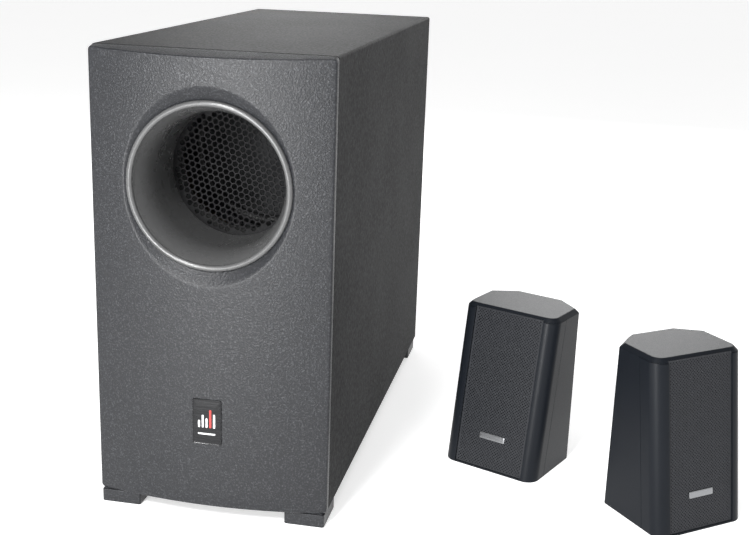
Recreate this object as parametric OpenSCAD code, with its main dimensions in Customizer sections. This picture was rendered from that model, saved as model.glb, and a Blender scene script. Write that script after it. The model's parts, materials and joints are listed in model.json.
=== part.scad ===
// Desktop speaker set: a ported subwoofer with its amplifier and two satellites.
// Millimetres. +X is the listener's right, +Y the back, +Z up; the set stands on z = 0.

/* [Subwoofer cabinet] */
// Width of the cabinet and its front panel
cab_w = 185; // [180:1:200]
// Height of the cabinet above its feet
cab_h = 350; // [345:1:380]
// Depth of the wrapped cabinet behind the front panel
cab_d = 418; // [390:1:440]
// Thickness of the cabinet boards
board_t = 12; // [9:1:12]
// Height of the feet
foot_h = 11.5; // [8:0.5:16]

/* [Subwoofer front panel] */
// Thickness of the moulded panel at its side edges
panel_edge_t = 7; // [6:0.5:9]
// How far the middle of the panel bows forward of its side edges
panel_bulge = 11; // [9:0.5:13]
// Angle at which the panel's top edge slopes down towards the front
panel_top_slope = 12; // [10:1:25]
// Height of the port's axis above the cabinet's bottom
port_height = 252; // [245:1:255]
// Inside radius of the port's throat
port_throat_r = 52; // [50:0.5:52]

/* [Satellites] */
// Width of a satellite
sat_w = 88; // [84:1:96]
// Height of a satellite
sat_h = 140; // [130:1:155]
// How far the top of the front leans back
sat_rake = 23; // [15:1:26]
// Depth of the straight side at the top
sat_side = 45; // [42:1:55]
// Width of each rear corner's chamfer
sat_chamfer_w = 22; // [16:1:24]
// Depth of each rear corner's chamfer
sat_chamfer_d = 16; // [12:1:18]
// Radius of the rounded front corners
sat_corner_r = 11; // [8:0.5:12]

/* [Placement] */
// Left satellite: right of the subwoofer's centre line
left_x = 203.5; // [190:0.5:210]
// Left satellite: behind the subwoofer's panel joint
left_y = 125.5; // [100:0.5:150]
// Left satellite: turn about the vertical, anticlockwise from above
left_yaw = -23; // [-30:1:0]
// Right satellite: right of the subwoofer's centre line
right_x = 380.5; // [370:0.5:400]
// Right satellite: behind the subwoofer's panel joint
right_y = 65; // [40:0.5:90]
// Right satellite: turn about the vertical, anticlockwise from above
right_yaw = 38; // [10:1:45]

/* [Hidden] */

$fn = 96;
cut = 1;            // how far a cutting solid runs past the face it opens

// Subwoofer
inner_w = cab_w - 2 * board_t;
inner_h = cab_h - 2 * board_t;
cab_mid_z = foot_h + cab_h / 2;
port_z = foot_h + port_height;
panel_t = panel_edge_t + panel_bulge;
panel_bow_r = (pow(cab_w / 2, 2) + pow(panel_bulge, 2)) / (2 * panel_bulge);
panel_skin = 5;
panel_rib_h = 60;   // solid band behind the badge
foot_size = [32, 36];
foot_inset = 1.5;   // from the cabinet's sides and back
foot_front = 9;     // how far the front feet stand forward of the panel joint

// Port: a conical recess in the panel, a beaded flare and a straight throat
recess_r = 63.5;    // where the recess meets the flare
recess_depth = 11.6; // of that circle, in front of the panel joint
recess_slope = 1.55; // gain in radius for each millimetre forward
port_boss_r = 78;   // solid ring of the panel around the recess
flare_gap = 0.2;
flare_r = 60;       // radius of the flare's curve in section
flare_depth = 18;   // where the curve runs out into the throat
flare_lip = 11;     // front of the flare, in front of the panel joint
throat_wall = 3;
throat_end = 80;
throat_gap = 0.02;  // line of glue between the flare and the tube behind it
bead_r = 2.4;
mesh_depth = 55;
mesh_t = 1.2;
mesh_pitch = 5;
mesh_wire = 0.9;
mesh_turn = 18;
mesh_rim = 3;
mesh_gap = 0.1;

// Badges
badge_size = [23, 37];
badge_z = foot_h + 71;
badge_seat = 0.8;   // depth of the badge's pocket
badge_t = 2;
badge_gap = 0.4;
badge_proud = badge_t - badge_seat;

// Loudspeaker driver, drawn at the woofer's size about an axis pointing backwards,
// with its flange's rear face at zero
flange_r = 76;
flange_t = 3.2;
basket_r = 66;      // outside of the basket behind the flange
basket_back_r = 46;
basket_depth = 36;
basket_wall = 2;
ledge_depth = 26;   // shelf that the spider is glued to
ledge_r = [38, 50];
basket_windows = 6;
basket_window_w = 30;
cone_r = 57;
cone_depth = 20;
cone_t = 1.2;
former_r = 16.5;    // outside of the voice coil's tube
former_t = 0.5;
winding_t = 0.5;
pole_r = 15.2;
gap_r = 17.8;       // hole of the top plate
top_plate_r = 40;
top_plate_t = 6;
magnet_r = [22, 45];
magnet_t = 16;
driver_hole_r = basket_r + 0.5;
screw_circle_r = 71;
screw_hole_r = 2.2; // in what a screw clamps
pilot_r = 2;        // in what a screw bites
coil_lead = 5;      // of the voice coil's tube, ahead of the cone's bottom
winding_lead = 3;   // of its winding, ahead of the top plate
winding_l = 12;
pole_lead = 1;      // of the pole, past the top plate and into the yoke's back
screw_head = [3.8, 2.2];    // radius and height
screw_shank_r = 1.9;
woofer_screw_l = 13.2;
woofer_y = 150;     // front face of the internal baffle

// Amplifier on the back
plate_size = [128, 256];
plate_t = 2;
plate_y = cab_d + plate_t;
amp_opening = [108, 236];
amp_screw_x = 59;
amp_screw_pitch = 76;
cutout_gap = 0.4;   // of a cut-out over the body that goes through it
board_y = cab_d - 20;   // inner face of the circuit board
pcb_t = 1.6;
pcb_size = [100, 150];
pcb_rise = 30;      // of the board's middle over the plate's
heatsink_size = [90, 60];
heatsink_drop = 10;
heatsink_base_t = 4;
fin_t = 2;
fin_l = 26;
knob_x = 30;
knob_z = cab_mid_z + 85;
knob_r = 8;
knob_h = 14;
knob_gap = 1;
spindle_r = 3;
spindle_bore_r = 3.07;
bushing_r = 3.6;
bushing_end = 4;    // past the plate's outer face
bushing_gap = 0.2;
pot_can = 17;
pot_can_gap = 6;    // between the can and the plate's inner face
pot_bore_start = 2; // of the spindle's bore, inside the can
jack_x = 7;
jack_z = cab_mid_z + 45;
jack_r = 4.15;
jack_l = 8.5;
jack_nut_r = 6;
jack_nut_t = 1.5;
jack_gap = 0.3;
jack_block = [28, 13];
contact_r = 1.65;
mains_z = cab_mid_z - 72;
mains_x = 25;
inlet_body = [22, 13];
inlet_flange = [28, 18];
inlet_depth = 17;
switch_body = [15, 20];
switch_flange = [17, 23];
switch_depth = 16;
switch_well = [11.6, 17.4, 8];
socket_flange_t = 2;
rocker_rest = 10;   // the rocker's lean at each of its two stops

// Spring terminals: a row of levers over a row of wire holes
lever_pitch = 12;
lever_w = 7;
lever_gap = 0.3;
lever_pivot = [-1.5, 1];    // y and z of the levers' hinge line
lever_hub_r = 2;
lever_h = 7;
lever_reach = 5;    // of the lever's front, past the hinge line
lever_tail = 1.5;   // of its back, behind the hinge line
lever_ribs = [2, 3.5, 5];   // heights of the finger grooves
groove_w = 0.6;
groove_depth = 0.5;
slot_behind = 6;    // room in the body behind the hinge line
slot_under = 0.4;   // and under the hub
slot_over = 4;      // and over the lever
pin_r = 0.8;
pin_gap = 0.08;
terminal_h = 19;
terminal_depth = 12;
terminal_flange_h = 23;
terminal_flange_t = 1.6;
terminal_rim = 2;   // of the flange past the body, at each end
wire_hole_r = 1.6;
wire_hole_place = [-9, -6]; // y of its bottom, and z

// Satellites
sat_wall = 2.5;
sat_bevel = 3.5;
sat_lean = atan(sat_rake / sat_h);
sat_back = sat_rake + sat_side + sat_chamfer_d;
sat_chamfer_turn = atan2(sat_chamfer_w, sat_chamfer_d);
sat_seam = 20;      // depth of the front bezel
grille_size = [64, 140];
grille_seat = 1.3;
grille_t = 1.2;
grille_foot = 1.8;  // its lower edge, up the front
grille_gap = 0.2;
grille_frame = 3;   // width of the ledge that the grille is glued to
window_foot = 5;
baffle_depth = 6;
baffle_t = 3;
driver_k = 0.46;    // the satellites' drivers against the woofer
driver_w = 82;      // height of the driver's axis along the leaning front
basket_gap = 1.8;   // around the basket, at the woofer's size
plaque_size = [24, 5.5];
plaque_w = 30;
plaque_t = 0.7;
sat_terminal_z = 32;
sat_screw_head = [1.7, 1.1];
sat_screw_shank_r = 0.95;
sat_screw_l = 3.4;
sat_pilot_r = 1;
sat_pilot_l = 2.2;

// The origin is at the middle of the whole set's footprint
right_reach = right_x + (sat_w / 2 - sat_corner_r) * cos(right_yaw)
    - sat_corner_r * sin(right_yaw) + sat_corner_r;
back_reach = plate_y + knob_gap + knob_h;
front_reach = panel_t + badge_proud;
set_mid = [(right_reach - cab_w / 2) / 2, (back_reach - front_reach) / 2, 0];

// ---- placing ----

module at_sub() {
    translate(-set_mid) children();
}

module at_left() {
    translate([left_x, left_y, 0] - set_mid) rotate([0, 0, left_yaw]) children();
}

module at_right() {
    translate([right_x, right_y, 0] - set_mid) rotate([0, 0, right_yaw]) children();
}

// Turns an axis along +Z to point backwards
module backwards() {
    rotate([-90, 0, 0]) children();
}

module at_port() {
    at_sub() translate([0, 0, port_z]) backwards() children();
}

module at_woofer() {
    at_sub() translate([0, woofer_y, port_z]) backwards() children();
}

// The satellite's leaning frame: X across, Y into the front, Z up along the front
module leaning() {
    rotate([-sat_lean, 0, 0]) children();
}

module at_sat_driver() {
    leaning()
        translate([0, baffle_depth + baffle_t + flange_t * driver_k, driver_w])
        backwards() scale(driver_k) children();
}

module ring_of(count, radius) {
    for (i = [0:count - 1])
        rotate([0, 0, 360 / count * (i + 0.5)]) translate([radius, 0, 0]) children();
}

// A box centred on X and Z, from y0 to y1
module slab(w, h, y0, y1) {
    translate([-w / 2, y0, -h / 2]) cube([w, y1 - y0, h]);
}

module tube(outer, inner, h) {
    difference() {
        cylinder(r = outer, h = h);
        translate([0, 0, -cut]) cylinder(r = inner, h = h + 2 * cut);
    }
}

// A screw whose head's underside is at zero and whose shank points to +Z
module screw(head_r, head_h, shank_r, length) {
    difference() {
        union() {
            translate([0, 0, -head_h]) cylinder(r = head_r, h = head_h, $fn = 24);
            cylinder(r = shank_r, h = length, $fn = 16);
        }
        for (turn = [0, 90])
            rotate([0, 0, turn])
                translate([-head_r * 0.6, -head_r * 0.12, -head_h - cut])
                cube([head_r * 1.2, head_r * 0.24, cut + head_h * 0.5]);
    }
}

// ---- subwoofer cabinet ----

module sub_cabinet() {
    color("#3d3f40") at_sub() translate([0, 0, cab_mid_z]) difference() {
        slab(cab_w, cab_h, 0, cab_d);
        slab(inner_w, inner_h, -cut, cab_d + cut);
    }
}

module sub_front_board() {
    color("#9b7f5c") at_sub() difference() {
        translate([0, 0, cab_mid_z]) slab(inner_w, inner_h, 0, board_t);
        translate([0, -cut, port_z]) backwards()
            cylinder(r = port_throat_r + throat_wall + flare_gap, h = board_t + 2 * cut);
    }
}

module sub_rear_board() {
    color("#3d3f40") at_sub() translate([0, 0, cab_mid_z]) difference() {
        slab(inner_w, inner_h, cab_d - board_t, cab_d);
        slab(amp_opening[0], amp_opening[1], cab_d - board_t - cut, cab_d + cut);
        amp_screw_places() cylinder(r = pilot_r, h = 2 * board_t, center = true, $fn = 24);
    }
}

module sub_driver_baffle() {
    color("#9b7f5c") at_sub() difference() {
        translate([0, 0, cab_mid_z]) slab(inner_w, inner_h, woofer_y, woofer_y + board_t);
        translate([0, woofer_y - cut, port_z]) backwards()
            cylinder(r = driver_hole_r, h = board_t + 2 * cut);
        translate([0, woofer_y, port_z]) backwards() ring_of(8, screw_circle_r)
            cylinder(r = pilot_r, h = 2 * board_t, center = true, $fn = 24);
    }
}

// The bowed moulding, grown inwards by an inset
module bowed_block(inset) {
    intersection() {
        translate([0, panel_bow_r - panel_t + inset, foot_h])
            cylinder(r = panel_bow_r, h = cab_h, $fn = 200);
        translate([0, 0, cab_mid_z])
            slab(cab_w - 2 * inset, cab_h - 2 * inset, -panel_t - cut, inset > 0 ? cut : 0);
    }
}

module panel_top_cut() {
    translate([0, 0, foot_h + cab_h]) rotate([panel_top_slope, 0, 0])
        translate([-cab_w, -2 * cab_w, 0]) cube([2 * cab_w, 2 * cab_w, cab_w]);
}

module sub_front_panel() {
    color("#6b7073") at_sub() difference() {
        bowed_block(0);
        panel_top_cut();
        difference() {
            bowed_block(panel_skin);
            translate([0, 0, -panel_skin]) panel_top_cut();
            translate([0, 0, port_z]) slab(2 * port_boss_r, 2 * port_boss_r, -panel_t, 2 * cut);
            translate([0, 0, badge_z]) slab(badge_size[0] * 2, panel_rib_h, -panel_t, 2 * cut);
        }
        translate([0, 0, port_z]) backwards() {
            translate([0, 0, -recess_depth - cut]) cylinder(r = recess_r, h = panel_t + 2 * cut);
            translate([0, 0, -recess_depth - panel_t])
                cylinder(r1 = recess_r + recess_slope * panel_t, r2 = recess_r, h = panel_t);
        }
        translate([0, 0, badge_z])
            slab(badge_size[0] + badge_gap, badge_size[1] + badge_gap, -panel_t - cut, -panel_t + badge_seat);
    }
}

// The beaded flare, and the plain tube that butts against the back of it
module port_flare() {
    lip_r = recess_r - flare_gap;
    throat_outer = port_throat_r + throat_wall;
    color("#141516") at_port() rotate_extrude($fn = 128) {
        translate([lip_r - bead_r, -flare_lip - bead_r / 4]) circle(r = bead_r, $fn = 48);
        intersection() {
            translate([port_throat_r + flare_r, flare_depth]) circle(r = flare_r, $fn = 200);
            polygon([[port_throat_r, -flare_lip], [lip_r, -flare_lip], [lip_r, 0],
                [throat_outer, 0], [throat_outer, flare_depth], [port_throat_r, flare_depth]]);
        }
    }
    color("#141516") at_port() translate([0, 0, flare_depth + throat_gap])
        tube(throat_outer, port_throat_r, throat_end - flare_depth - throat_gap);
}

module port_mesh() {
    r = port_throat_r - mesh_gap;
    rows = floor(r / mesh_pitch / cos(30));
    color("#3a3b3c") at_port() translate([0, 0, mesh_depth]) rotate(mesh_turn)
        linear_extrude(mesh_t) difference() {
            circle(r = r);
            for (row = [-rows:rows], col = [-rows:rows]) {
                x = (col + (row % 2 == 0 ? 0 : 0.5)) * mesh_pitch;
                y = row * mesh_pitch * cos(30);
                if (norm([x, y]) < r - mesh_rim)
                    translate([x, y]) rotate(30) circle(d = (mesh_pitch - mesh_wire) / cos(30), $fn = 6);
            }
        }
}

module sub_badge() {
    color("#0c0c0d") at_sub() translate([0, 0, badge_z])
        slab(badge_size[0], badge_size[1], -panel_t - badge_proud, -panel_t + badge_seat);
}

module sub_feet() {
    x = cab_w / 2 - foot_inset - foot_size[0];
    color("#5c6062") at_sub()
        for (side = [0, 1], y = [-foot_front, cab_d - foot_inset - foot_size[1]])
            mirror([side, 0, 0]) translate([x, y, 0]) cube([foot_size[0], foot_size[1], foot_h]);
}

// ---- loudspeaker driver ----

module basket(holes) {
    difference() {
        rotate_extrude() {
            translate([basket_r - basket_wall, -flange_t])
                square([flange_r - basket_r + basket_wall, flange_t]);
            polygon([[basket_r - basket_wall, 0], [basket_r, 0],
                [basket_back_r, basket_depth], [basket_back_r - basket_wall, basket_depth]]);
            translate([ledge_r[0], ledge_depth]) square([ledge_r[1] - ledge_r[0], basket_wall]);
            translate([gap_r + basket_wall, basket_depth - basket_wall])
                square([basket_back_r - gap_r - basket_wall, basket_wall]);
        }
        for (i = [0:basket_windows - 1])
            rotate([0, 0, 360 / basket_windows * i])
                translate([basket_back_r / 2, -basket_window_w / 2, basket_wall * 3])
                cube([basket_r, basket_window_w, ledge_depth - 4 * basket_wall]);
        ring_of(holes, screw_circle_r) translate([0, 0, -flange_t - cut])
            cylinder(r = screw_hole_r, h = flange_t + 2 * cut, $fn = 24);
    }
}

module top_plate() {
    translate([0, 0, basket_depth]) tube(top_plate_r, gap_r, top_plate_t);
}

module magnet_ring() {
    translate([0, 0, basket_depth + top_plate_t]) tube(magnet_r[1], magnet_r[0], magnet_t);
}

module yoke() {
    back = basket_depth + top_plate_t + magnet_t;
    translate([0, 0, back]) cylinder(r = top_plate_r, h = top_plate_t);
    translate([0, 0, basket_depth - pole_lead])
        cylinder(r = pole_r, h = back - basket_depth + 2 * pole_lead);
}

module cone() {
    rotate_extrude()
        polygon([[former_r, cone_depth], [cone_r, -flange_t + cone_t],
            [cone_r, -flange_t], [former_r, cone_depth - cone_t]]);
}

module dust_cap() {
    rim = 22;
    rise = 7;
    t = 0.8;
    ball = (rim * rim + rise * rise) / (2 * rise);
    slope = (cone_depth - cone_t + flange_t) / (cone_r - former_r);
    seat = cone_depth - cone_t - (rim - former_r) * slope;
    intersection() {
        translate([0, 0, seat - rise + ball]) difference() {
            sphere(r = ball);
            sphere(r = ball - t);
        }
        translate([0, 0, seat - 2 * rise]) cylinder(r = rim + cut, h = 2 * rise);
    }
}

module voice_coil() {
    tube_front = cone_depth - coil_lead;
    winding_front = basket_depth - winding_lead;
    rotate_extrude() {
        translate([former_r - former_t, tube_front])
            square([former_t, winding_front + winding_l - tube_front]);
        translate([former_r, winding_front]) square([winding_t, winding_l]);
    }
}

// Half roll of rubber between the cone's edge and the flange
module surround() {
    mid = (cone_r + basket_r) / 2;
    roll = (basket_r - cone_r) / 2;
    t = 0.4;
    rotate_extrude() translate([mid, -flange_t]) intersection() {
        difference() {
            circle(r = roll + t, $fn = 48);
            circle(r = roll - t, $fn = 48);
        }
        translate([-2 * roll, -2 * roll]) square([4 * roll, 2 * roll]);
    }
}

// Corrugated disc that centres the voice coil
module spider() {
    outer = 46;
    waves = 6;
    step = (outer - former_r) / waves / 2;
    t = 0.6;
    height = 1.6;
    function edge(i, lift) = [former_r + i * step, ledge_depth - t - lift + (i % 2 == 0 ? 0 : -height)];
    rotate_extrude() polygon(concat(
        [for (i = [0:2 * waves]) edge(i, 0)],
        [for (i = [2 * waves:-1:0]) edge(i, -t)]));
}

module woofer_screws() {
    color("#26282a") at_woofer() ring_of(8, screw_circle_r)
        translate([0, 0, -flange_t])
        screw(screw_head[0], screw_head[1], screw_shank_r, woofer_screw_l);
}

// ---- amplifier ----

module amp_screw_places() {
    for (side = [-1, 1], row = [-1.5:1:1.5])
        translate([side * amp_screw_x, cab_d, row * amp_screw_pitch]) backwards() children();
}

module cutout(body) {
    slab(body[0] + cutout_gap, body[1] + cutout_gap, cab_d - cut, plate_y + cut);
}

module amp_plate() {
    color("#1d1f20") at_sub() difference() {
        translate([0, 0, cab_mid_z]) slab(plate_size[0], plate_size[1], cab_d, plate_y);
        translate([0, 0, cab_mid_z]) amp_screw_places()
            cylinder(r = screw_hole_r, h = 2 * board_t, center = true, $fn = 24);
        for (side = [-1, 1]) {
            translate([side * knob_x, cab_d - cut, knob_z]) backwards()
                cylinder(r = bushing_r + bushing_gap, h = plate_t + 2 * cut);
            translate([side * jack_x, cab_d - cut, jack_z]) backwards()
                cylinder(r = jack_r + jack_gap, h = plate_t + 2 * cut);
        }
        translate([0, 0, cab_mid_z]) cutout([terminal_body_w(4), terminal_h]);
        translate([-mains_x, 0, mains_z]) cutout(switch_body);
        translate([mains_x, 0, mains_z]) cutout(inlet_body);
    }
}

module amp_screws() {
    color("#26282a") at_sub() translate([0, 0, cab_mid_z]) amp_screw_places()
        translate([0, 0, plate_t]) rotate([180, 0, 0])
        screw(screw_head[0], screw_head[1], screw_shank_r, board_t);
}

module amp_board() {
    color("#2c5a36") at_sub() translate([0, 0, cab_mid_z + pcb_rise])
        slab(pcb_size[0], pcb_size[1], board_y, board_y + pcb_t);
}

module amp_heatsink() {
    fins = 9;
    base_y = board_y - heatsink_base_t;
    color("#a9adb0") at_sub() translate([0, 0, cab_mid_z - heatsink_drop]) {
        slab(heatsink_size[0], heatsink_size[1], base_y, board_y);
        for (i = [0:fins - 1])
            translate([(i / (fins - 1) - 0.5) * (heatsink_size[0] - fin_t), 0, 0])
                slab(fin_t, heatsink_size[1], base_y - fin_l, base_y);
    }
}

// A laminated core with its winding through the middle, on a strap with two screw holes
module power_transformer() {
    core = [66, 30, 55];
    winding = [40, 50, 35];
    strap = [90, 20, 2];
    hole_x = 39;
    middle = [0, 325, foot_h + board_t];
    color("#8a8175") at_sub() translate(middle) difference() {
        union() {
            for (block = [core, strap])
                translate([-block[0] / 2, -block[1] / 2, 0]) cube(block);
            translate([0, 0, core[2] / 2]) cube(winding, center = true);
        }
        for (side = [-1, 1])
            translate([side * hole_x, 0, -cut])
                cylinder(r = screw_hole_r, h = strap[2] + 2 * cut, $fn = 24);
    }
}

// Figure-eight socket with its two pins
module mains_inlet() {
    cavity_r = 4.4;
    web = 0.8;      // flat between the two round halves, on each side of the middle
    pin_x = 4.3;
    pin_back = 1;   // of the pins' tips behind the mouth
    contact_pin_r = 1.2;
    depth = 12;
    color("#101112") at_sub() translate([mains_x, plate_y, mains_z]) {
        difference() {
            union() {
                slab(inlet_flange[0], inlet_flange[1], 0, socket_flange_t);
                slab(inlet_body[0], inlet_body[1], -inlet_depth, 0);
            }
            translate([0, socket_flange_t - depth, 0]) {
                slab(2 * (pin_x - web), 2 * cavity_r, 0, depth + cut);
                for (side = [-1, 1])
                    translate([side * (pin_x - web), 0, 0]) backwards()
                        cylinder(r = cavity_r, h = depth + cut);
            }
        }
        for (side = [-1, 1])
            translate([side * pin_x, -depth, 0]) backwards()
                cylinder(r = contact_pin_r, h = depth - pin_back);
    }
}

module power_switch_frame() {
    color("#101112") at_sub() translate([-mains_x, plate_y, mains_z]) difference() {
        union() {
            slab(switch_flange[0], switch_flange[1], 0, socket_flange_t);
            slab(switch_body[0], switch_body[1], -switch_depth, 0);
        }
        slab(switch_well[0], switch_well[1], -switch_well[2], socket_flange_t + cut);
    }
}

// A rocker with a dip across its middle; its section is drawn with X outwards and Y up
module power_rocker() {
    width = 11;
    root = [-3, 6.5];
    tip = [4.8, 7.6];
    dip = 3.4;
    color("#18191a") at_sub() translate([-mains_x, plate_y, mains_z]) rotate([-rocker_rest, 0, 0])
        rotate([0, 90, 0]) rotate([0, 0, 90]) linear_extrude(width, center = true)
        polygon([[root[0], -root[1]], [tip[0], -tip[1]], [dip, 0], tip, root]);
}

module control_pots() {
    can_back = cab_d - pot_can_gap;
    end = plate_y + bushing_end;
    color("#8d9194") at_sub() for (side = [-1, 1]) translate([side * knob_x, 0, knob_z]) difference() {
        union() {
            slab(pot_can, pot_can, board_y + pcb_t, can_back);
            translate([0, can_back, 0]) backwards()
                cylinder(r = bushing_r, h = end - can_back);
        }
        translate([0, can_back - pot_bore_start, 0]) backwards()
            cylinder(r = spindle_bore_r, h = end - can_back + pot_bore_start + cut);
    }
}

// A fluted knob with its spindle, at the plate's outer face
module knob() {
    flutes = 20;
    flute_r = 0.9;
    flute_out = 0.5;    // of a flute's axis, past the knob's side
    flute_start = 3;
    chamfer = 1;
    pointer = [1.2, 6, 0.6];
    spindle_l = plate_t + 6;
    translate([0, 0, knob_gap]) difference() {
        union() {
            cylinder(r = knob_r, h = knob_h - chamfer);
            translate([0, 0, knob_h - chamfer])
                cylinder(r1 = knob_r, r2 = knob_r - chamfer, h = chamfer);
        }
        translate([0, 0, -cut]) cylinder(r = bushing_r + 2 * bushing_gap, h = bushing_end + cut);
        ring_of(flutes, knob_r + flute_out)
            translate([0, 0, flute_start]) cylinder(r = flute_r, h = knob_h, $fn = 16);
        translate([-pointer[0] / 2, knob_r + cut - pointer[1], knob_h - pointer[2]])
            cube([pointer[0], pointer[1], pointer[2] + cut]);
    }
    translate([0, 0, -spindle_l]) cylinder(r = spindle_r, h = spindle_l + knob_gap + bushing_end);
}

module volume_knob() {
    color("#1a1b1c") at_sub() translate([-knob_x, plate_y, knob_z]) backwards() knob();
}

module bass_knob() {
    color("#1a1b1c") at_sub() translate([knob_x, plate_y, knob_z]) backwards() knob();
}

module input_jacks() {
    color("#c9b27a") at_sub() translate([0, 0, jack_z]) difference() {
        union() {
            slab(jack_block[0], jack_block[1], board_y + pcb_t, cab_d);
            for (side = [-1, 1]) translate([side * jack_x, cab_d, 0]) backwards() {
                cylinder(r = jack_r, h = plate_t + jack_l);
                translate([0, 0, plate_t]) cylinder(r = jack_nut_r, h = jack_nut_t, $fn = 6);
            }
        }
        for (side = [-1, 1])
            translate([side * jack_x, cab_d + plate_t, 0]) backwards()
                cylinder(r = contact_r, h = jack_l + cut);
    }
}

// ---- spring terminals ----
// Drawn on a panel whose outer face is at y = 0 and faces +Y

function terminal_body_w(count) = count * lever_pitch + 2;
function lever_x(i, count) = (i - (count - 1) / 2) * lever_pitch;

module spring_terminal(count) {
    w = terminal_body_w(count);
    slot_w = lever_w + 2 * lever_gap;
    difference() {
        union() {
            slab(w + 2 * terminal_rim, terminal_flange_h, 0, terminal_flange_t);
            slab(w, terminal_h, -terminal_depth, 0);
        }
        for (i = [0:count - 1]) translate([lever_x(i, count), 0, 0]) {
            translate([-slot_w / 2, lever_pivot[0] - slot_behind, lever_pivot[1] - lever_hub_r - slot_under])
                cube([slot_w, terminal_depth, lever_h + slot_over]);
            translate([0, wire_hole_place[0], wire_hole_place[1]]) backwards()
                cylinder(r = wire_hole_r, h = terminal_depth, $fn = 24);
        }
    }
    for (i = [0:count - 1])
        translate([lever_x(i, count) - slot_w / 2, lever_pivot[0], lever_pivot[1]])
            rotate([0, 90, 0]) cylinder(r = pin_r, h = slot_w, $fn = 24);
}

module terminal_lever(i, count) {
    translate([lever_x(i, count), lever_pivot[0], lever_pivot[1]]) difference() {
        union() {
            rotate([0, 90, 0]) cylinder(r = lever_hub_r, h = lever_w, center = true, $fn = 32);
            translate([-lever_w / 2, -lever_tail, 0])
                cube([lever_w, lever_reach + lever_tail, lever_h]);
        }
        rotate([0, 90, 0]) cylinder(r = pin_r + pin_gap, h = 2 * lever_w, center = true, $fn = 24);
        for (z = lever_ribs)
            translate([-lever_w / 2 - cut, lever_reach - groove_depth, z])
                cube([lever_w + 2 * cut, groove_depth + cut, groove_w]);
    }
}

module at_sub_terminals() {
    at_sub() translate([0, plate_y, cab_mid_z]) children();
}

module at_sat_terminal() {
    translate([0, sat_back, sat_terminal_z]) children();
}

// ---- satellites ----

// Plan of the chamfered back, inset from the walls and run past the sides by a margin
module sat_plan(inset, margin) {
    side_x = sat_w / 2 - inset + margin;
    side_y = sat_rake + sat_side - inset * tan(sat_chamfer_turn / 2) - margin / tan(sat_chamfer_turn);
    back_x = sat_w / 2 - sat_chamfer_w - inset * tan((90 - sat_chamfer_turn) / 2);
    back_y = sat_back - inset;
    polygon([[-side_x, -margin], [side_x, -margin], [side_x, side_y],
        [back_x, back_y], [-back_x, back_y], [-side_x, side_y]]);
}

// Section across the leaning front: straight sides and rounded front corners
module sat_front_section() {
    straight_x = sat_w / 2 - sat_corner_r;
    for (side = [-1, 1])
        translate([side * straight_x, sat_corner_r]) circle(r = sat_corner_r);
    translate([-straight_x, 0]) square([2 * straight_x, sat_back]);
    translate([-sat_w / 2, sat_corner_r]) square([sat_w, 2 * sat_back]);
}

// Removes the 45 degree bevel from a top edge that runs through a point of the outline
module bevel_cut(point, outward) {
    reach = 2 * sat_w;
    translate([point[0], point[1], sat_h - sat_bevel]) rotate([0, -45, outward])
        translate([0, -reach, -reach]) cube([reach, 2 * reach, 2 * reach]);
}

// Whole outer form: raked front, chamfered back, bevelled top and rounded front corners
module sat_body() {
    front_y = sat_rake * (1 - sat_bevel / sat_h);
    corner_in = sat_corner_r * (1 - sin(45));
    difference() {
        intersection() {
            linear_extrude(sat_h) sat_plan(0, 2 * cut);
            leaning() translate([0, 0, -sat_h / 2]) linear_extrude(2 * sat_h) sat_front_section();
        }
        bevel_cut([0, front_y], -90);
        bevel_cut([0, sat_back], 90);
        for (side = [0, 1]) mirror([side, 0, 0]) {
            bevel_cut([sat_w / 2 - corner_in, front_y + corner_in], -45);
            bevel_cut([sat_w / 2, sat_rake + sat_side], 0);
            bevel_cut([sat_w / 2, sat_rake + sat_side], sat_chamfer_turn);
        }
    }
}

// Everything in front of the bezel's joint and under the top
module sat_bezel_zone() {
    intersection() {
        leaning() translate([-sat_w, -sat_w, -sat_h]) cube([2 * sat_w, sat_w + sat_seam, 3 * sat_h]);
        translate([-sat_w, -sat_w, -cut]) cube([2 * sat_w, 3 * sat_w, sat_h - sat_bevel + cut]);
    }
}

// Seat of the grille, down the front and up into the bevel of the top
module grille_pocket() {
    leaning() translate([-grille_size[0] / 2, -cut, grille_foot - grille_gap])
        cube([grille_size[0], cut + grille_seat + grille_t, grille_size[1] - grille_foot + 2 * grille_gap]);
}

module front_bezel() {
    window_w = grille_size[0] - 2 * grille_frame;
    sat_driver_hole_r = (basket_r + basket_gap) * driver_k;
    color("#4d5358") difference() {
        intersection() {
            sat_body();
            sat_bezel_zone();
        }
        grille_pocket();
        leaning() {
            translate([-window_w / 2, 0, window_foot]) cube([window_w, baffle_depth, 2 * sat_h]);
            translate([0, 0, driver_w]) backwards() {
                cylinder(r = sat_driver_hole_r, h = sat_seam);
                ring_of(4, screw_circle_r * driver_k)
                    translate([0, 0, baffle_depth + baffle_t - sat_pilot_l])
                    cylinder(r = sat_pilot_r, h = baffle_t, $fn = 24);
            }
        }
        intersection() {
            leaning() translate([-sat_w / 2 + sat_wall, baffle_depth + baffle_t, 0])
                cube([sat_w - 2 * sat_wall, sat_back, 2 * sat_h]);
            translate([-sat_w, -sat_w, sat_wall]) cube([2 * sat_w, 3 * sat_w, 2 * sat_h]);
        }
    }
}

module rear_shell() {
    color("#4a4f54") difference() {
        sat_body();
        sat_bezel_zone();
        grille_pocket();
        translate([0, 0, sat_wall]) linear_extrude(sat_h - sat_bevel - sat_wall)
            sat_plan(sat_wall, 0);
        at_sat_terminal()
            slab(terminal_body_w(2) + cutout_gap, terminal_h + cutout_gap, -2 * sat_wall, cut);
    }
}

module grille() {
    color("#2b2e31") leaning()
        translate([-grille_size[0] / 2 + grille_gap, grille_seat, grille_foot])
        cube([grille_size[0] - 2 * grille_gap, grille_t, grille_size[1] - grille_foot]);
}

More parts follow.
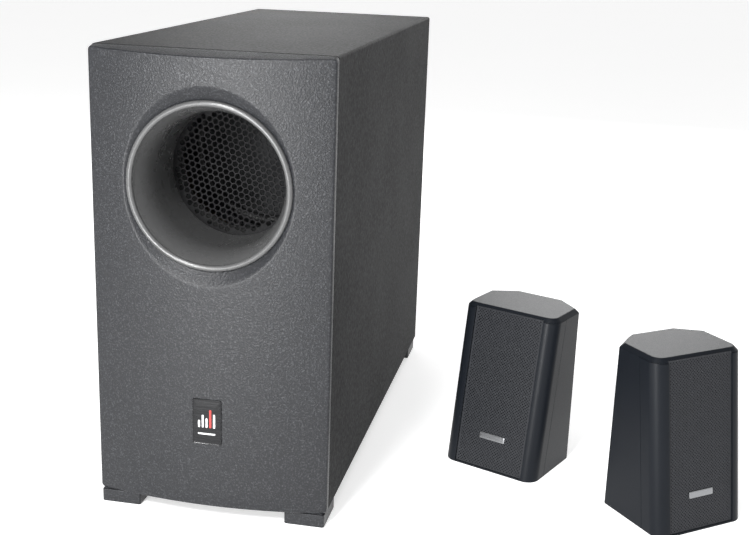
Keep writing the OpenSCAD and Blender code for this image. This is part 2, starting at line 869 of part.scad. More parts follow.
module sat_badge() {
    color("#c4c7c9") leaning() translate([0, 0, plaque_w])
        slab(plaque_size[0], plaque_size[1], grille_seat - plaque_t, grille_seat);
}

module sat_motor() {
    color("#5b5e60") at_sat_driver() {
        top_plate();
        magnet_ring();
        yoke();
    }
}

module sat_cone() {
    color("#2a2c2e") at_sat_driver() {
        cone();
        dust_cap();
        voice_coil();
    }
}

module sat_suspension() {
    color("#17181a") at_sat_driver() {
        surround();
        spider();
    }
}

module sat_driver_frame() {
    color("#303335") at_sat_driver() basket(4);
}

module sat_screws() {
    color("#8a8e91") leaning()
        translate([0, baffle_depth + baffle_t + flange_t * driver_k, driver_w]) backwards()
        ring_of(4, screw_circle_r * driver_k) rotate([180, 0, 0])
        screw(sat_screw_head[0], sat_screw_head[1], sat_screw_shank_r, sat_screw_l);
}

module sat_terminal() {
    color("#141516") at_sat_terminal() spring_terminal(2);
}

module sat_lever(i) {
    color(i == 0 ? "#a3201d" : "#1b1b1c") at_sat_terminal() terminal_lever(i, 2);
}

module sub_lever(i) {
    color(i % 2 == 0 ? "#a3201d" : "#1b1b1c") at_sub_terminals() terminal_lever(i, 4);
}

// ---- the set ----

sub_cabinet();
sub_front_board();
sub_rear_board();
sub_driver_baffle();
sub_front_panel();
port_flare();
port_mesh();
sub_badge();
sub_feet();

color("#303335") at_woofer() basket(8);  // woofer_frame
color("#7d8284") at_woofer() top_plate();  // woofer_top_plate
color("#3b3a39") at_woofer() magnet_ring();  // woofer_magnet
color("#7d8284") at_woofer() yoke();  // woofer_yoke
color("#17181a") at_woofer() surround();  // woofer_surround
color("#a8863f") at_woofer() spider();  // woofer_spider
color("#2a2c2e") at_woofer() cone();  // woofer_cone
color("#222426") at_woofer() dust_cap();  // woofer_dust_cap
color("#b87333") at_woofer() voice_coil();  // woofer_voice_coil
woofer_screws();

amp_plate();
amp_board();
amp_heatsink();
power_transformer();
mains_inlet();
power_switch_frame();
power_rocker();
control_pots();
volume_knob();
bass_knob();
input_jacks();
color("#141516") at_sub_terminals() spring_terminal(4);  // speaker_terminals
amp_screws();
sub_lever(0);  // sub_lever_1
sub_lever(1);  // sub_lever_2
sub_lever(2);  // sub_lever_3
sub_lever(3);  // sub_lever_4

at_left() front_bezel();  // left_front_bezel
at_left() rear_shell();  // left_rear_shell
at_left() grille();  // left_grille
at_left() sat_badge();  // left_badge
at_left() sat_driver_frame();  // left_driver_frame
at_left() sat_motor();  // left_driver_motor
at_left() sat_cone();  // left_cone
at_left() sat_suspension();  // left_suspension
at_left() sat_terminal();  // left_terminal
at_left() sat_lever(0);  // left_lever_1
at_left() sat_lever(1);  // left_lever_2
at_left() sat_screws();  // left_screws

at_right() front_bezel();  // right_front_bezel
at_right() rear_shell();  // right_rear_shell
at_right() grille();  // right_grille
at_right() sat_badge();  // right_badge
at_right() sat_driver_frame();  // right_driver_frame
at_right() sat_motor();  // right_driver_motor
at_right() sat_cone();  // right_cone
at_right() sat_suspension();  // right_suspension
at_right() sat_terminal();  // right_terminal
at_right() sat_lever(0);  // right_lever_1
at_right() sat_lever(1);  // right_lever_2
at_right() sat_screws();  // right_screws
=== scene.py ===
"""Looks of a desktop speaker set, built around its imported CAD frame.

Metres, in the frame's own axes: +X is the listener's right, +Y the back and +Z up.
"""

import json
import math
from contextlib import contextmanager

import bmesh
import bpy
from mathutils import Matrix, Vector


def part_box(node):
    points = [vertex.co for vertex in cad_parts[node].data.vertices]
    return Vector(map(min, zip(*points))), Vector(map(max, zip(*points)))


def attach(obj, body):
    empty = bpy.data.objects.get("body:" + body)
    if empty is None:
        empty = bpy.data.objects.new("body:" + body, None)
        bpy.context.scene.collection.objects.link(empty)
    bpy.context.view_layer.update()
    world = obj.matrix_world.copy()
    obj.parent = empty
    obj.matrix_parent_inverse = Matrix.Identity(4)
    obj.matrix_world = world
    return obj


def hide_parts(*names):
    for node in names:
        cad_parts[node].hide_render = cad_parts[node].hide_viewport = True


MM = 0.001

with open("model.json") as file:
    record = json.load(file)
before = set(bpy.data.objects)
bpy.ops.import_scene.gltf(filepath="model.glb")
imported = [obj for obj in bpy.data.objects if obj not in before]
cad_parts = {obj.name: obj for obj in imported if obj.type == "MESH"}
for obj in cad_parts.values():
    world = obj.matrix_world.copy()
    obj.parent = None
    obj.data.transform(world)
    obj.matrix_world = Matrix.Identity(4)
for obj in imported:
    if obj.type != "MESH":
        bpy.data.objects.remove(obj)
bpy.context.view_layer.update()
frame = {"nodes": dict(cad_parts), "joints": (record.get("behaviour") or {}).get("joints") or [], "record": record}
scene = bpy.context.scene

# ---- camera, fitted to the subwoofer in the photograph ----

CAMERA_PLACE = Vector((0.1156, -1.0206, 0.4494))
CAMERA_HEADING = 10.63  # degrees to the left of straight back
CAMERA_DIP = 16.09  # degrees
CAMERA_ROLL = 2.01  # degrees
CAMERA_LENS = 56.84  # mm
SENSOR_WIDTH = 36.0


def make_camera():
    heading = math.radians(CAMERA_HEADING)
    dip = math.radians(CAMERA_DIP)
    forward = Vector((-math.sin(heading) * math.cos(dip),
                      math.cos(heading) * math.cos(dip),
                      -math.sin(dip)))
    right = Vector((math.cos(heading), math.sin(heading), 0))
    up = right.cross(forward)
    level = Matrix((right, up, -forward)).transposed()
    turn = level @ Matrix.Rotation(math.radians(CAMERA_ROLL), 3, "Z")
    data = bpy.data.cameras.new("camera")
    data.lens = CAMERA_LENS
    data.sensor_width = SENSOR_WIDTH
    data.clip_start = 0.01
    data.clip_end = 50
    camera = bpy.data.objects.new("camera", data)
    camera.matrix_world = Matrix.Translation(CAMERA_PLACE) @ turn.to_4x4()
    scene.collection.objects.link(camera)
    scene.camera = camera


# ---- light and floor ----

# strength by height: full near the horizon, a quarter overhead
SKY_FADE = {"From Min": 0.3, "From Max": 0.75, "To Min": 1.0, "To Max": 0.25}

# place, target, size in metres, power in watts
LAMPS = {
    "front": ((-0.42, -1.5, 0.24), (-0.15, -0.2, 0.36), 0.3, 18),
    "key": ((-0.3, -1.14, 0.92), (-0.15, -0.2, 0.16), 0.3, 17),
    "overhead": ((-0.05, -0.2, 1.7), (-0.05, -0.1, 0), 1.0, 5),
    "side": ((0.75, -0.95, 1.05), (-0.1, -0.2, 0.2), 0.4, 1),
    "back_left": ((-0.62, 1.6, 0.66), (-0.15, -0.1, 0.36), 0.6, 4.5),
    "back_right": ((0.18, 1.7, 0.8), (0.12, -0.1, 0.14), 0.8, 6),
}


def soft_light(name, place, target, size, power):
    data = bpy.data.lights.new(name, "AREA")
    data.shape = "DISK"
    data.size = size
    data.energy = power
    light = bpy.data.objects.new(name, data)
    light.location = place
    light.rotation_mode = "QUATERNION"
    light.rotation_quaternion = (Vector(target) - Vector(place)).to_track_quat("-Z", "Y")
    scene.collection.objects.link(light)


def make_studio():
    """White light from all round that fades towards the top of the sky, and soft lamps."""
    world = bpy.data.worlds.new("studio")
    world.use_nodes = True
    tree = world.node_tree
    backdrop = tree.nodes["Background"]
    backdrop.inputs["Color"].default_value = (1, 1, 1, 1)
    way = tree.nodes.new("ShaderNodeTexCoord")
    height = tree.nodes.new("ShaderNodeSeparateXYZ")
    fade = tree.nodes.new("ShaderNodeMapRange")
    for name, value in SKY_FADE.items():
        fade.inputs[name].default_value = value
    tree.links.new(way.outputs["Generated"], height.inputs["Vector"])
    tree.links.new(height.outputs["Z"], fade.inputs["Value"])
    tree.links.new(fade.outputs["Result"], backdrop.inputs["Strength"])
    scene.world = world
    scene.view_settings.view_transform = "Standard"
    for name, (place, target, size, power) in LAMPS.items():
        soft_light(name, place, target, size, power)


def make_floor():
    reach = 40.0
    mesh = bpy.data.meshes.new("floor")
    corners = [(-reach, -reach, 0), (reach, -reach, 0), (reach, reach, 0), (-reach, reach, 0)]
    mesh.from_pydata(corners, [], [(0, 1, 2, 3)])
    floor = bpy.data.objects.new("floor", mesh)
    scene.collection.objects.link(floor)
    mesh.materials.append(floor_finish())


# ---- materials ----


class Finish:
    """A material in the making: one Principled shader and textures in the object's own space."""

    def __init__(self, name, colour, roughness, metallic=0.0, specular=0.5, coat=0.0):
        self.material = bpy.data.materials.new(name)
        self.material.use_nodes = True
        self.tree = self.material.node_tree
        self.shader = self.tree.nodes["Principled BSDF"]
        self.colour = (*colour, 1)
        self.set("Base Color", self.colour)
        self.set("Roughness", roughness)
        self.set("Metallic", metallic)
        self.set("Specular IOR Level", specular)
        self.set("Coat Weight", coat)
        self.place = self.tree.nodes.new("ShaderNodeTexCoord").outputs["Object"]

    def set(self, name, value):
        self.shader.inputs[name].default_value = value

    def node(self, kind, **links):
        made = self.tree.nodes.new(kind)
        for name, source in links.items():
            self.tree.links.new(source, made.inputs[name])
        return made

    def stretched(self, stretch):
        made = self.node("ShaderNodeMapping", Vector=self.place)
        made.inputs["Scale"].default_value = stretch
        return made.outputs["Vector"]

    def noise(self, size, detail=3.0, roughness=0.55, stretch=(1, 1, 1)):
        """Noise whose features are about size across, drawn out where stretch is below one."""
        made = self.node("ShaderNodeTexNoise", Vector=self.stretched(stretch))
        made.inputs["Scale"].default_value = 1 / size
        made.inputs["Detail"].default_value = detail
        made.inputs["Roughness"].default_value = roughness
        return made.outputs["Fac"]

    def cells(self, size, stretch=(1, 1, 1)):
        made = self.node("ShaderNodeTexVoronoi", Vector=self.stretched(stretch))
        made.inputs["Scale"].default_value = 1 / size
        return made.outputs["Distance"]

    def levels(self, source, low, high, out_low=0.0, out_high=1.0):
        made = self.node("ShaderNodeMapRange", Value=source)
        for name, value in zip(("From Min", "From Max", "To Min", "To Max"), (low, high, out_low, out_high)):
            made.inputs[name].default_value = value
        return made.outputs["Result"]

    def edges(self, radius):
        """One on edges and corners, zero on flat faces."""
        rounded = self.node("ShaderNodeBevel")
        rounded.inputs["Radius"].default_value = radius
        flat = self.tree.nodes.new("ShaderNodeNewGeometry").outputs["Normal"]
        facing = self.node("ShaderNodeVectorMath")
        facing.operation = "DOT_PRODUCT"
        self.tree.links.new(rounded.outputs["Normal"], facing.inputs[0])
        self.tree.links.new(flat, facing.inputs[1])
        return self.levels(facing.outputs["Value"], 0.98, 0.8)

    def tint(self, mask, colour):
        """Mixes the base colour towards another where the mask is bright."""
        made = self.tree.nodes.new("ShaderNodeMix")
        made.data_type = "RGBA"
        self.tree.links.new(mask, made.inputs["Factor"])
        base = self.shader.inputs["Base Color"]
        if base.links:
            self.tree.links.new(base.links[0].from_socket, made.inputs["A"])
        else:
            made.inputs["A"].default_value = self.colour
        made.inputs["B"].default_value = (*colour, 1)
        self.tree.links.new(made.outputs["Result"], base)

    def rough(self, mask, low, high):
        """Roughness that goes from low to high as the mask gets brighter."""
        self.tree.links.new(self.levels(mask, 0.3, 0.7, low, high), self.shader.inputs["Roughness"])

    def bump(self, height, depth, strength=1.0):
        made = self.node("ShaderNodeBump", Height=height)
        made.inputs["Distance"].default_value = depth
        made.inputs["Strength"].default_value = strength
        normal = self.shader.inputs["Normal"]
        if normal.links:
            self.tree.links.new(normal.links[0].from_socket, made.inputs["Normal"])
        self.tree.links.new(made.outputs["Normal"], normal)


def floor_finish():
    f = Finish("floor", (0.9, 0.9, 0.9), 0.8, specular=0.1)
    f.tint(f.noise(0.4), (0.87, 0.87, 0.87))
    f.set("Emission Color", (1, 1, 1, 1))
    f.set("Emission Strength", 0.5)
    return f.material


def vinyl_wrap():
    """Black wrap with drawn-out streaks, pores and a few large scuffed patches."""
    f = Finish("vinyl_wrap", (0.009, 0.0091, 0.0095), 0.62, specular=0.05)
    streaks = f.noise(0.0017, 3, 0.6, (1, 0.5, 0.4))
    pores = f.noise(0.001, 2, 0.5)
    f.tint(f.levels(streaks, 0.4, 0.7), (0.03, 0.0305, 0.0313))
    f.tint(f.levels(pores, 0.55, 0.72, 0, 0.7), (0.012, 0.0122, 0.0125))
    f.tint(f.levels(f.noise(0.09), 0.4, 0.7, 0, 0.25), (0.05, 0.051, 0.052))
    f.rough(f.noise(0.002), 0.55, 0.7)
    f.bump(streaks, 0.00015, 0.6)
    f.bump(pores, 0.00008, 0.5)
    return f.material


def panel_plastic():
    """Dark grey plastic with a coarse sparkling grain."""
    f = Finish("panel_plastic", (0.01, 0.0107, 0.0128), 0.42, specular=0.32)
    grain = f.noise(0.0013, 2, 0.6)
    f.tint(f.levels(grain, 0.51, 0.71), (0.038, 0.0395, 0.0435))
    f.tint(f.levels(f.noise(0.0011, 1, 0.5), 0.56, 0.68, 0, 0.85), (0.008, 0.0083, 0.009))
    f.rough(grain, 0.46, 0.33)
    f.bump(grain, 0.0006, 0.65)
    return f.material


def gloss_plastic():
    """Grey lacquered plastic with faint specks and a slight orange peel."""
    f = Finish("gloss_plastic", (0.066, 0.0665, 0.067), 0.28, specular=0.45, coat=0.15)
    f.set("Coat Roughness", 0.1)
    f.rough(f.noise(0.012, 5, 0.65), 0.24, 0.34)
    f.tint(f.levels(f.noise(0.0012, 2), 0.68, 0.76, 0, 0.35), (0.09, 0.09, 0.09))
    f.bump(f.noise(0.02, 2), 0.00008, 0.3)
    return f.material


def black_mesh():
    f = Finish("black_mesh", (0.01, 0.01, 0.0105), 0.65, specular=0.08)
    f.rough(f.noise(0.0015), 0.5, 0.7)
    f.tint(f.levels(f.noise(0.003, 4), 0.5, 0.75, 0, 0.6), (0.022, 0.022, 0.023))
    f.bump(f.noise(0.0006), 0.00008, 0.6)
    return f.material


def badge_gloss():
    """Black lens with a finely brushed sheet under it."""
    f = Finish("badge_gloss", (0.005, 0.0052, 0.006), 0.2, specular=0.2, coat=0.15)
    f.set("Coat Roughness", 0.03)
    brushed = f.noise(0.0008, 3, 0.6, (0.04, 1, 1))
    f.tint(f.levels(brushed, 0.4, 0.75), (0.014, 0.0145, 0.016))
    f.rough(brushed, 0.22, 0.34)
    return f.material


def printed(name, colour):
    f = Finish(name, colour, 0.35)
    f.tint(f.levels(f.noise(0.0008), 0.4, 0.7, 0, 0.4), tuple(c * 0.8 for c in colour))
    f.rough(f.noise(0.0006), 0.3, 0.45)
    f.bump(f.noise(0.0004), 0.00003, 0.5)
    return f.material


def board():
    """Fibre board, dark so that it doesn't show through the port's mesh."""
    f = Finish("board", (0.05, 0.038, 0.027), 0.85, specular=0.15)
    fibres = f.noise(0.0025, 6, 0.7, (0.5, 1, 1))
    f.tint(f.levels(fibres, 0.4, 0.65), (0.085, 0.065, 0.045))
    f.tint(f.levels(f.noise(0.001, 3), 0.6, 0.75), (0.03, 0.022, 0.015))
    f.bump(fibres, 0.0002, 0.6)
    return f.material


def painted_metal(name, colour, grain=0.0012, roughness=0.42):
    f = Finish(name, colour, roughness, specular=0.5)
    texture = f.noise(grain, 3, 0.6)
    f.tint(f.levels(texture, 0.45, 0.7, 0, 0.6), tuple(c * 1.7 for c in colour))
    # lighter on edges and corners
    f.tint(f.edges(0.0006), tuple(min(1, c * 3 + 0.03) for c in colour))
    f.rough(texture, roughness - 0.08, roughness + 0.1)
    f.bump(texture, 0.00015, 0.5)
    return f.material


def plated_steel(name="plated_steel", colour=(0.56, 0.57, 0.58), roughness=0.28, along=(1, 0.1, 1)):
    f = Finish(name, colour, roughness, metallic=1.0)
    turned = f.noise(0.0006, 3, 0.6, along)
    f.tint(f.levels(turned, 0.4, 0.7, 0, 0.5), tuple(c * 0.72 for c in colour))
    f.tint(f.levels(f.noise(0.006, 4), 0.55, 0.75, 0, 0.5), tuple(c * 0.6 for c in colour))
    f.rough(turned, roughness - 0.08, roughness + 0.14)
    f.bump(turned, 0.00003, 0.5)
    return f.material


def ferrite():
    f = Finish("ferrite", (0.045, 0.043, 0.042), 0.62, specular=0.4)
    f.tint(f.levels(f.noise(0.0012, 5, 0.7), 0.45, 0.7), (0.09, 0.087, 0.085))
    f.bump(f.noise(0.0008, 5, 0.7), 0.0002, 0.6)
    return f.material


def surround_rubber():
    f = Finish("surround_rubber", (0.02, 0.02, 0.021), 0.48, specular=0.45)
    f.tint(f.levels(f.noise(0.003, 4), 0.5, 0.7), (0.04, 0.04, 0.042))
    f.rough(f.noise(0.002, 4), 0.4, 0.6)
    f.bump(f.noise(0.0005), 0.00006, 0.5)
    return f.material


def woven(name, colour, pitch):
    """Cloth of crossed threads, a pitch apart."""
    f = Finish(name, colour, 0.75, specular=0.3)
    f.set("Sheen Weight", 0.3)
    threads = []
    for direction in ("X", "Z"):
        wave = f.node("ShaderNodeTexWave", Vector=f.place)
        wave.bands_direction = direction
        wave.inputs["Scale"].default_value = 1 / (3.2 * pitch)
        wave.inputs["Distortion"].default_value = 0.6
        threads.append(wave.outputs["Fac"])
    both = f.tree.nodes.new("ShaderNodeMath")
    both.operation = "MAXIMUM"
    for i, thread in enumerate(threads):
        f.tree.links.new(thread, both.inputs[i])
    f.tint(f.levels(both.outputs["Value"], 0.9, 0.4), tuple(c * 0.5 for c in colour))
    f.bump(both.outputs["Value"], 0.0002, 0.8)
    return f.material


def cone_paper():
    f = Finish("cone_paper", (0.028, 0.029, 0.031), 0.7, specular=0.3)
    fibres = f.noise(0.0022, 6, 0.75)
    f.tint(f.levels(fibres, 0.5, 0.68), (0.07, 0.071, 0.074))
    f.rough(fibres, 0.6, 0.8)
    f.bump(fibres, 0.0002, 0.7)
    return f.material


def coil_copper():
    f = Finish("coil_copper", (0.62, 0.27, 0.12), 0.3, metallic=1.0, coat=0.5)
    turns = f.noise(0.0004, 1, 0.4, (0.02, 1, 0.02))
    f.tint(f.levels(turns, 0.4, 0.6), (0.4, 0.15, 0.06))
    f.bump(turns, 0.0001, 0.8)
    return f.material


def circuit_board():
    f = Finish("circuit_board", (0.02, 0.09, 0.035), 0.3, coat=0.4)
    tracks = f.cells(0.006, (1, 1, 0.3))
    f.tint(f.levels(tracks, 0.42, 0.5), (0.04, 0.17, 0.06))
    f.tint(f.levels(f.cells(0.004), 0.12, 0.08), (0.55, 0.55, 0.5))
    f.bump(tracks, 0.00005, 0.6)
    return f.material


def satin_plastic(name, colour, grain=0.0007, roughness=0.42, depth=0.00008, specular=0.5):
    """Moulded plastic with a fine spark-eroded grain."""
    f = Finish(name, colour, roughness, specular=specular)
    texture = f.noise(grain, 3, 0.6)
    f.tint(f.levels(texture, 0.4, 0.75, 0, 0.5), tuple(c * 1.35 for c in colour))
    f.tint(f.levels(f.noise(0.03, 4), 0.45, 0.75, 0, 0.25), tuple(c * 0.75 for c in colour))
    f.rough(texture, roughness - 0.06, roughness + 0.1)
    f.bump(texture, depth, 0.5)
    return f.material


def grille_paint():
    f = Finish("grille_paint", (0.016, 0.017, 0.0195), 0.4, specular=0.16)
    texture = f.noise(0.0005, 3, 0.6)
    f.tint(f.levels(texture, 0.45, 0.7, 0, 0.6), (0.055, 0.0575, 0.063))
    f.rough(texture, 0.3, 0.48)
    f.bump(texture, 0.00004, 0.4)
    return f.material


def plaque_metal():
    f = Finish("plaque_metal", (0.27, 0.275, 0.285), 0.34, metallic=1.0)
    brushed = f.noise(0.0003, 2, 0.5, (1, 1, 0.03))
    f.tint(f.levels(brushed, 0.35, 0.7, 0, 0.4), (0.2, 0.204, 0.212))
    f.rough(brushed, 0.26, 0.36)
    return f.material


def make_finishes():
    """Each of the record's material slots by name."""
    return {
        "vinyl_wrap": vinyl_wrap(),
        "panel_plastic": panel_plastic(),
        "gloss_plastic": gloss_plastic(),
        "black_mesh": black_mesh(),
        "badge_gloss": badge_gloss(),
        "board": board(),
        "driver_paint": painted_metal("driver_paint", (0.03, 0.031, 0.033)),
        "plated_steel": plated_steel(),
        "ferrite": ferrite(),
        "surround_rubber": surround_rubber(),
        "spider_cloth": woven("spider_cloth", (0.42, 0.28, 0.1), 0.0008),
        "cone_paper": cone_paper(),
        "coil_copper": coil_copper(),
        "black_screws": painted_metal("black_screws", (0.02, 0.02, 0.021), 0.0006, 0.35),
        "amp_plate_paint": painted_metal("amp_plate_paint", (0.034, 0.035, 0.037), 0.0008, 0.5),
        "circuit_board": circuit_board(),
        "heatsink_alloy": plated_steel("heatsink_alloy", (0.6, 0.61, 0.62), 0.35, (1, 1, 0.06)),
        "transformer_steel": plated_steel("transformer_steel", (0.3, 0.27, 0.24), 0.45, (0.1, 1, 1)),
        "black_plastic": satin_plastic("black_plastic", (0.008, 0.008, 0.0085), specular=0.3),
        "knob_plastic": satin_plastic("knob_plastic", (0.022, 0.022, 0.024), 0.0005, 0.38),
        "socket_brass": plated_steel("socket_brass", (0.72, 0.6, 0.34), 0.22, (1, 0.15, 1)),
        "red_plastic": satin_plastic("red_plastic", (0.4, 0.014, 0.012), 0.0006, 0.3),
        "satellite_plastic": satin_plastic("satellite_plastic", (0.007, 0.0084, 0.011), 0.0006, 0.34,
                                           0.00005, 0.11),
        "grille_paint": grille_paint(),
        "plaque_metal": plaque_metal(),
    }


# ---- mesh helpers ----


def arc(centre, radius, start, end, steps):
    """Points of an arc, in degrees, ends included."""
    turns = [math.radians(start + (end - start) * i / steps) for i in range(steps + 1)]
    return [(centre[0] + radius * math.cos(t), centre[1] + radius * math.sin(t)) for t in turns]


def whole_circle(centre, radius, sides):
    return arc(centre, radius, 0, 360 - 360 / sides, sides - 1)


def rounded_rect(half_w, low, high, radius, steps):
    """Outline of an upright rectangle with rounded corners, anticlockwise from the lower right."""
    radius = max(radius, 0.05 * MM)
    points = []
    for x, z, start in (
        (half_w - radius, low + radius, -90),
        (half_w - radius, high - radius, 0),
        (radius - half_w, high - radius, 90),
        (radius - half_w, low + radius, 180),
    ):
        points += arc((x, z), radius, start, start + 90, steps)
    return points


def loft(rings, closed=False):
    """A mesh over rings of points. Closed, its last ring joins its first; otherwise it has end caps."""
    count = len(rings[0])
    points = [p for ring in rings for p in ring]
    faces = []
    for i in range(len(rings) - (0 if closed else 1)):
        near = i * count
        far = (i + 1) % len(rings) * count
        for j in range(count):
            k = (j + 1) % count
            faces.append((near + j, near + k, far + k, far + j))
    if not closed:
        faces.append(tuple(range(count))[::-1])
        faces.append(tuple(range(len(points) - count, len(points))))
    return mesh_of(points, faces)


@contextmanager
def editing(mesh):
    work = bmesh.new()
    work.from_mesh(mesh)
    yield work
    work.to_mesh(mesh)
    work.free()


def mesh_of(points, faces):
    mesh = bpy.data.meshes.new("shape")
    mesh.from_pydata(points, [], faces)
    with editing(mesh) as work:
        bmesh.ops.remove_doubles(work, verts=work.verts, dist=0.001 * MM)
        bmesh.ops.recalc_face_normals(work, faces=work.faces)
    return mesh


def spin(profile, steps):
    """A closed outline of (radius, depth) points turned about the depth axis, +Y."""
    rings = []
    for i in range(steps):
        angle = 2 * math.pi * i / steps
        rings.append([(r * math.cos(angle), depth, r * math.sin(angle)) for r, depth in profile])
    return loft(rings, closed=True)


def smooth(mesh):
    """Smooth shading that breaks at sharp edges."""
    mesh.polygons.foreach_set("use_smooth", [True] * len(mesh.polygons))
    mesh.set_sharp_from_angle(angle=math.radians(32))


def round_edges(mesh, width):
    """Rounds every sharp edge."""
    limit = math.radians(34)
    with editing(mesh) as work:
        edges = [e for e in work.edges if len(e.link_faces) == 2 and e.calc_face_angle() > limit]
        bmesh.ops.bevel(work, geom=edges, offset=width, segments=2, profile=0.5, affect="EDGES",
                        clamp_overlap=True)


def show(name, mesh, body, finish, replaces, place, level=True):
    """A mesh as a piece that rides on a body. Level shades its large flat faces evenly."""
    mesh.transform(place)
    smooth(mesh)
    mesh.materials.clear()
    mesh.materials.append(finish)
    piece = bpy.data.objects.new(name, mesh)
    scene.collection.objects.link(piece)
    if level:
        normals = piece.modifiers.new("level", "WEIGHTED_NORMAL")
        normals.keep_sharp = True
    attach(piece, body)
    if replaces:
        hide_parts(*replaces)


def combined(mesh, other, operation):
    """The mesh after a boolean with another. Both are used up."""
    objects = [bpy.data.objects.new("part", m) for m in (mesh, other)]
    for o in objects:
        scene.collection.objects.link(o)
    cut = objects[0].modifiers.new("cut", "BOOLEAN")
    cut.operation = operation
    cut.solver = "EXACT"
    cut.object = objects[1]
    made = bpy.data.meshes.new_from_object(objects[0].evaluated_get(bpy.context.evaluated_depsgraph_get()))
    for o in objects:
        bpy.data.objects.remove(o)
    return made


def block(low, high):
    """A plain box, for cutting with."""
    (x0, y0, z0), (x1, y1, z1) = low, high
    base = [(x0, y0), (x1, y0), (x1, y1), (x0, y1)]
    return loft([[(x, y, z) for x, y in base] for z in (z0, z1)])


def mix(a, b, share):
    return a + (b - a) * share


def middle_of(node, y):
    """The middle of a node across and up, at a depth."""
    low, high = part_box(node)
    return Matrix.Translation(((low.x + high.x) / 2, y, (low.z + high.z) / 2))


# ---- subwoofer ----

cab_low, cab_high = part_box("sub_cabinet")
panel_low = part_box("sub_front_panel")[0]
flare_low, flare_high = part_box("port_flare")
badge_low, badge_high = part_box("sub_badge")

SUB_X = (cab_low.x + cab_high.x) / 2
HALF_W = (cab_high.x - cab_low.x) / 2
JOINT_Y = cab_low.y
PORT_Z = (flare_low.z + flare_high.z) / 2
WRAP_CORNER = 2.2 * MM
BOARD_T = 12 * MM

PANEL_DEPTH = JOINT_Y - panel_low.y
PANEL_EDGE_DEPTH = 7 * MM
PANEL_TOP_FALL = math.radians(12)
PANEL_SLOPE = math.tan(PANEL_TOP_FALL)
PANEL_CORNER = 3 * MM
PANEL_FILLET = 1.5 * MM
PANEL_TOP_TURN = 1 - PANEL_TOP_FALL / math.radians(90)  # the top edge turns less than the sides
PANEL_FADE = 60 * MM  # height over which the sloping top draws the side edges down
PANEL_REVEAL = 0.6 * MM  # depth of the groove at the joint with the cabinet
PANEL_LIP = 1.0 * MM  # height of that groove
RECESS_R = 63.5 * MM
RECESS_DEPTH = 11.6 * MM
RECESS_SLOPE = 1.55  # outward for each unit of depth
RECESS_BLEND = 0.9 * MM
BOW_SAG = PANEL_DEPTH - PANEL_EDGE_DEPTH
BOW_R = (HALF_W**2 + BOW_SAG**2) / (2 * BOW_SAG)

BADGE_HALF_W = (badge_high.x - badge_low.x) / 2
BADGE_HALF_H = (badge_high.z - badge_low.z) / 2
BADGE_RIM = 0.9 * MM
BADGE_DOME = 0.75 * MM
BADGE_FRONT = badge_low.y + 0.1 * MM  # slightly sunk
BADGE_PLACE = middle_of("sub_badge", BADGE_FRONT)
LENS_HALF_W = BADGE_HALF_W - BADGE_RIM
LENS_HALF_H = BADGE_HALF_H - BADGE_RIM


def bow(x):
    """Depth of the bowed panel in front of its joint."""
    return math.sqrt(BOW_R**2 - x * x) - (BOW_R - PANEL_DEPTH)


def sub_place(z=0.0):
    """From the subwoofer's middle at the panel joint, at a height, to the row frame."""
    return Matrix.Translation((SUB_X, JOINT_Y, z))


def cabinet_wrap(finishes):
    """The wrapped board tube, open at both ends, with slightly soft edges."""
    depth = cab_high.y - cab_low.y
    soft = 0.8 * MM
    profile = [(0, BOARD_T), (0, soft), (0.25 * soft, 0.25 * soft), (soft, 0)]
    profile += [(depth - y, inset) for y, inset in reversed(profile)]
    rings = []
    for y, inset in profile:
        outline = rounded_rect(HALF_W - inset, cab_low.z + inset, cab_high.z - inset, WRAP_CORNER - inset, 6)
        rings.append([(x, y, z) for x, z in outline])
    mesh = loft(rings, closed=True)
    show("cabinet_wrap", mesh, "subwoofer", finishes["vinyl_wrap"],
         ["sub_cabinet"], sub_place())


def smooth_min(a, b, blend):
    near = max(blend - abs(a - b), 0) / blend
    return min(a, b) - near * near * blend / 4


def panel_depth(x, z):
    """Depth of the panel's face, with the conical recess round the port let into it."""
    cone = RECESS_DEPTH + (math.hypot(x, z - PORT_Z) - RECESS_R) / RECESS_SLOPE
    return smooth_min(cone, bow(x), RECESS_BLEND)


def recess_reach(angle):
    """Radius at which the recess meets the bowed face, along a ray from the port's axis."""
    near, far = RECESS_R, RECESS_R + RECESS_SLOPE * PANEL_DEPTH
    for _ in range(40):
        middle = (near + far) / 2
        cone = RECESS_DEPTH + (middle - RECESS_R) / RECESS_SLOPE
        if cone < bow(middle * math.cos(angle)):
            near = middle
        else:
            far = middle
    return near


def panel_rim(angle, inset, top_inset):
    """Where a ray from the port's axis meets the panel's outline: x, z, and one along the top edge."""
    half = HALF_W - inset
    low = cab_low.z + inset
    high = cab_high.z - top_inset
    radius = max(PANEL_CORNER - inset, 0.3 * MM)
    near, far = 0.0, cab_high.z
    for _ in range(44):
        middle = (near + far) / 2
        x = middle * math.cos(angle)
        z = PORT_Z + middle * math.sin(angle)
        past_x = abs(x) - half + radius
        past_z = abs(z - (low + high) / 2) - (high - low) / 2 + radius
        distance = math.hypot(max(past_x, 0), max(past_z, 0)) + min(max(past_x, past_z), 0) - radius
        if distance > 0:
            far = middle
        else:
            near = middle
    if past_x > 0 and past_z > 0:
        top = past_z / math.hypot(past_x, past_z)
    else:
        top = float(past_z > past_x)
    return x, z, top**2 * float(z > PORT_Z)


def panel_angles():
    """Directions from the port's axis: even ones, and a few round each corner of the panel."""
    corners = []
    outline = rounded_rect(HALF_W, cab_low.z, cab_high.z, PANEL_CORNER, 5)
    for i in range(0, len(outline), 6):
        corners.append([math.atan2(z - PORT_Z, x) % (2 * math.pi) for x, z in outline[i:i + 6]])
    margin = math.radians(0.5)
    count = 240
    even = [2 * math.pi * i / count for i in range(count)]
    even = [a for a in even if not any(min(c) - margin < a < max(c) + margin for c in corners)]
    return sorted(even + [a for c in corners for a in c])


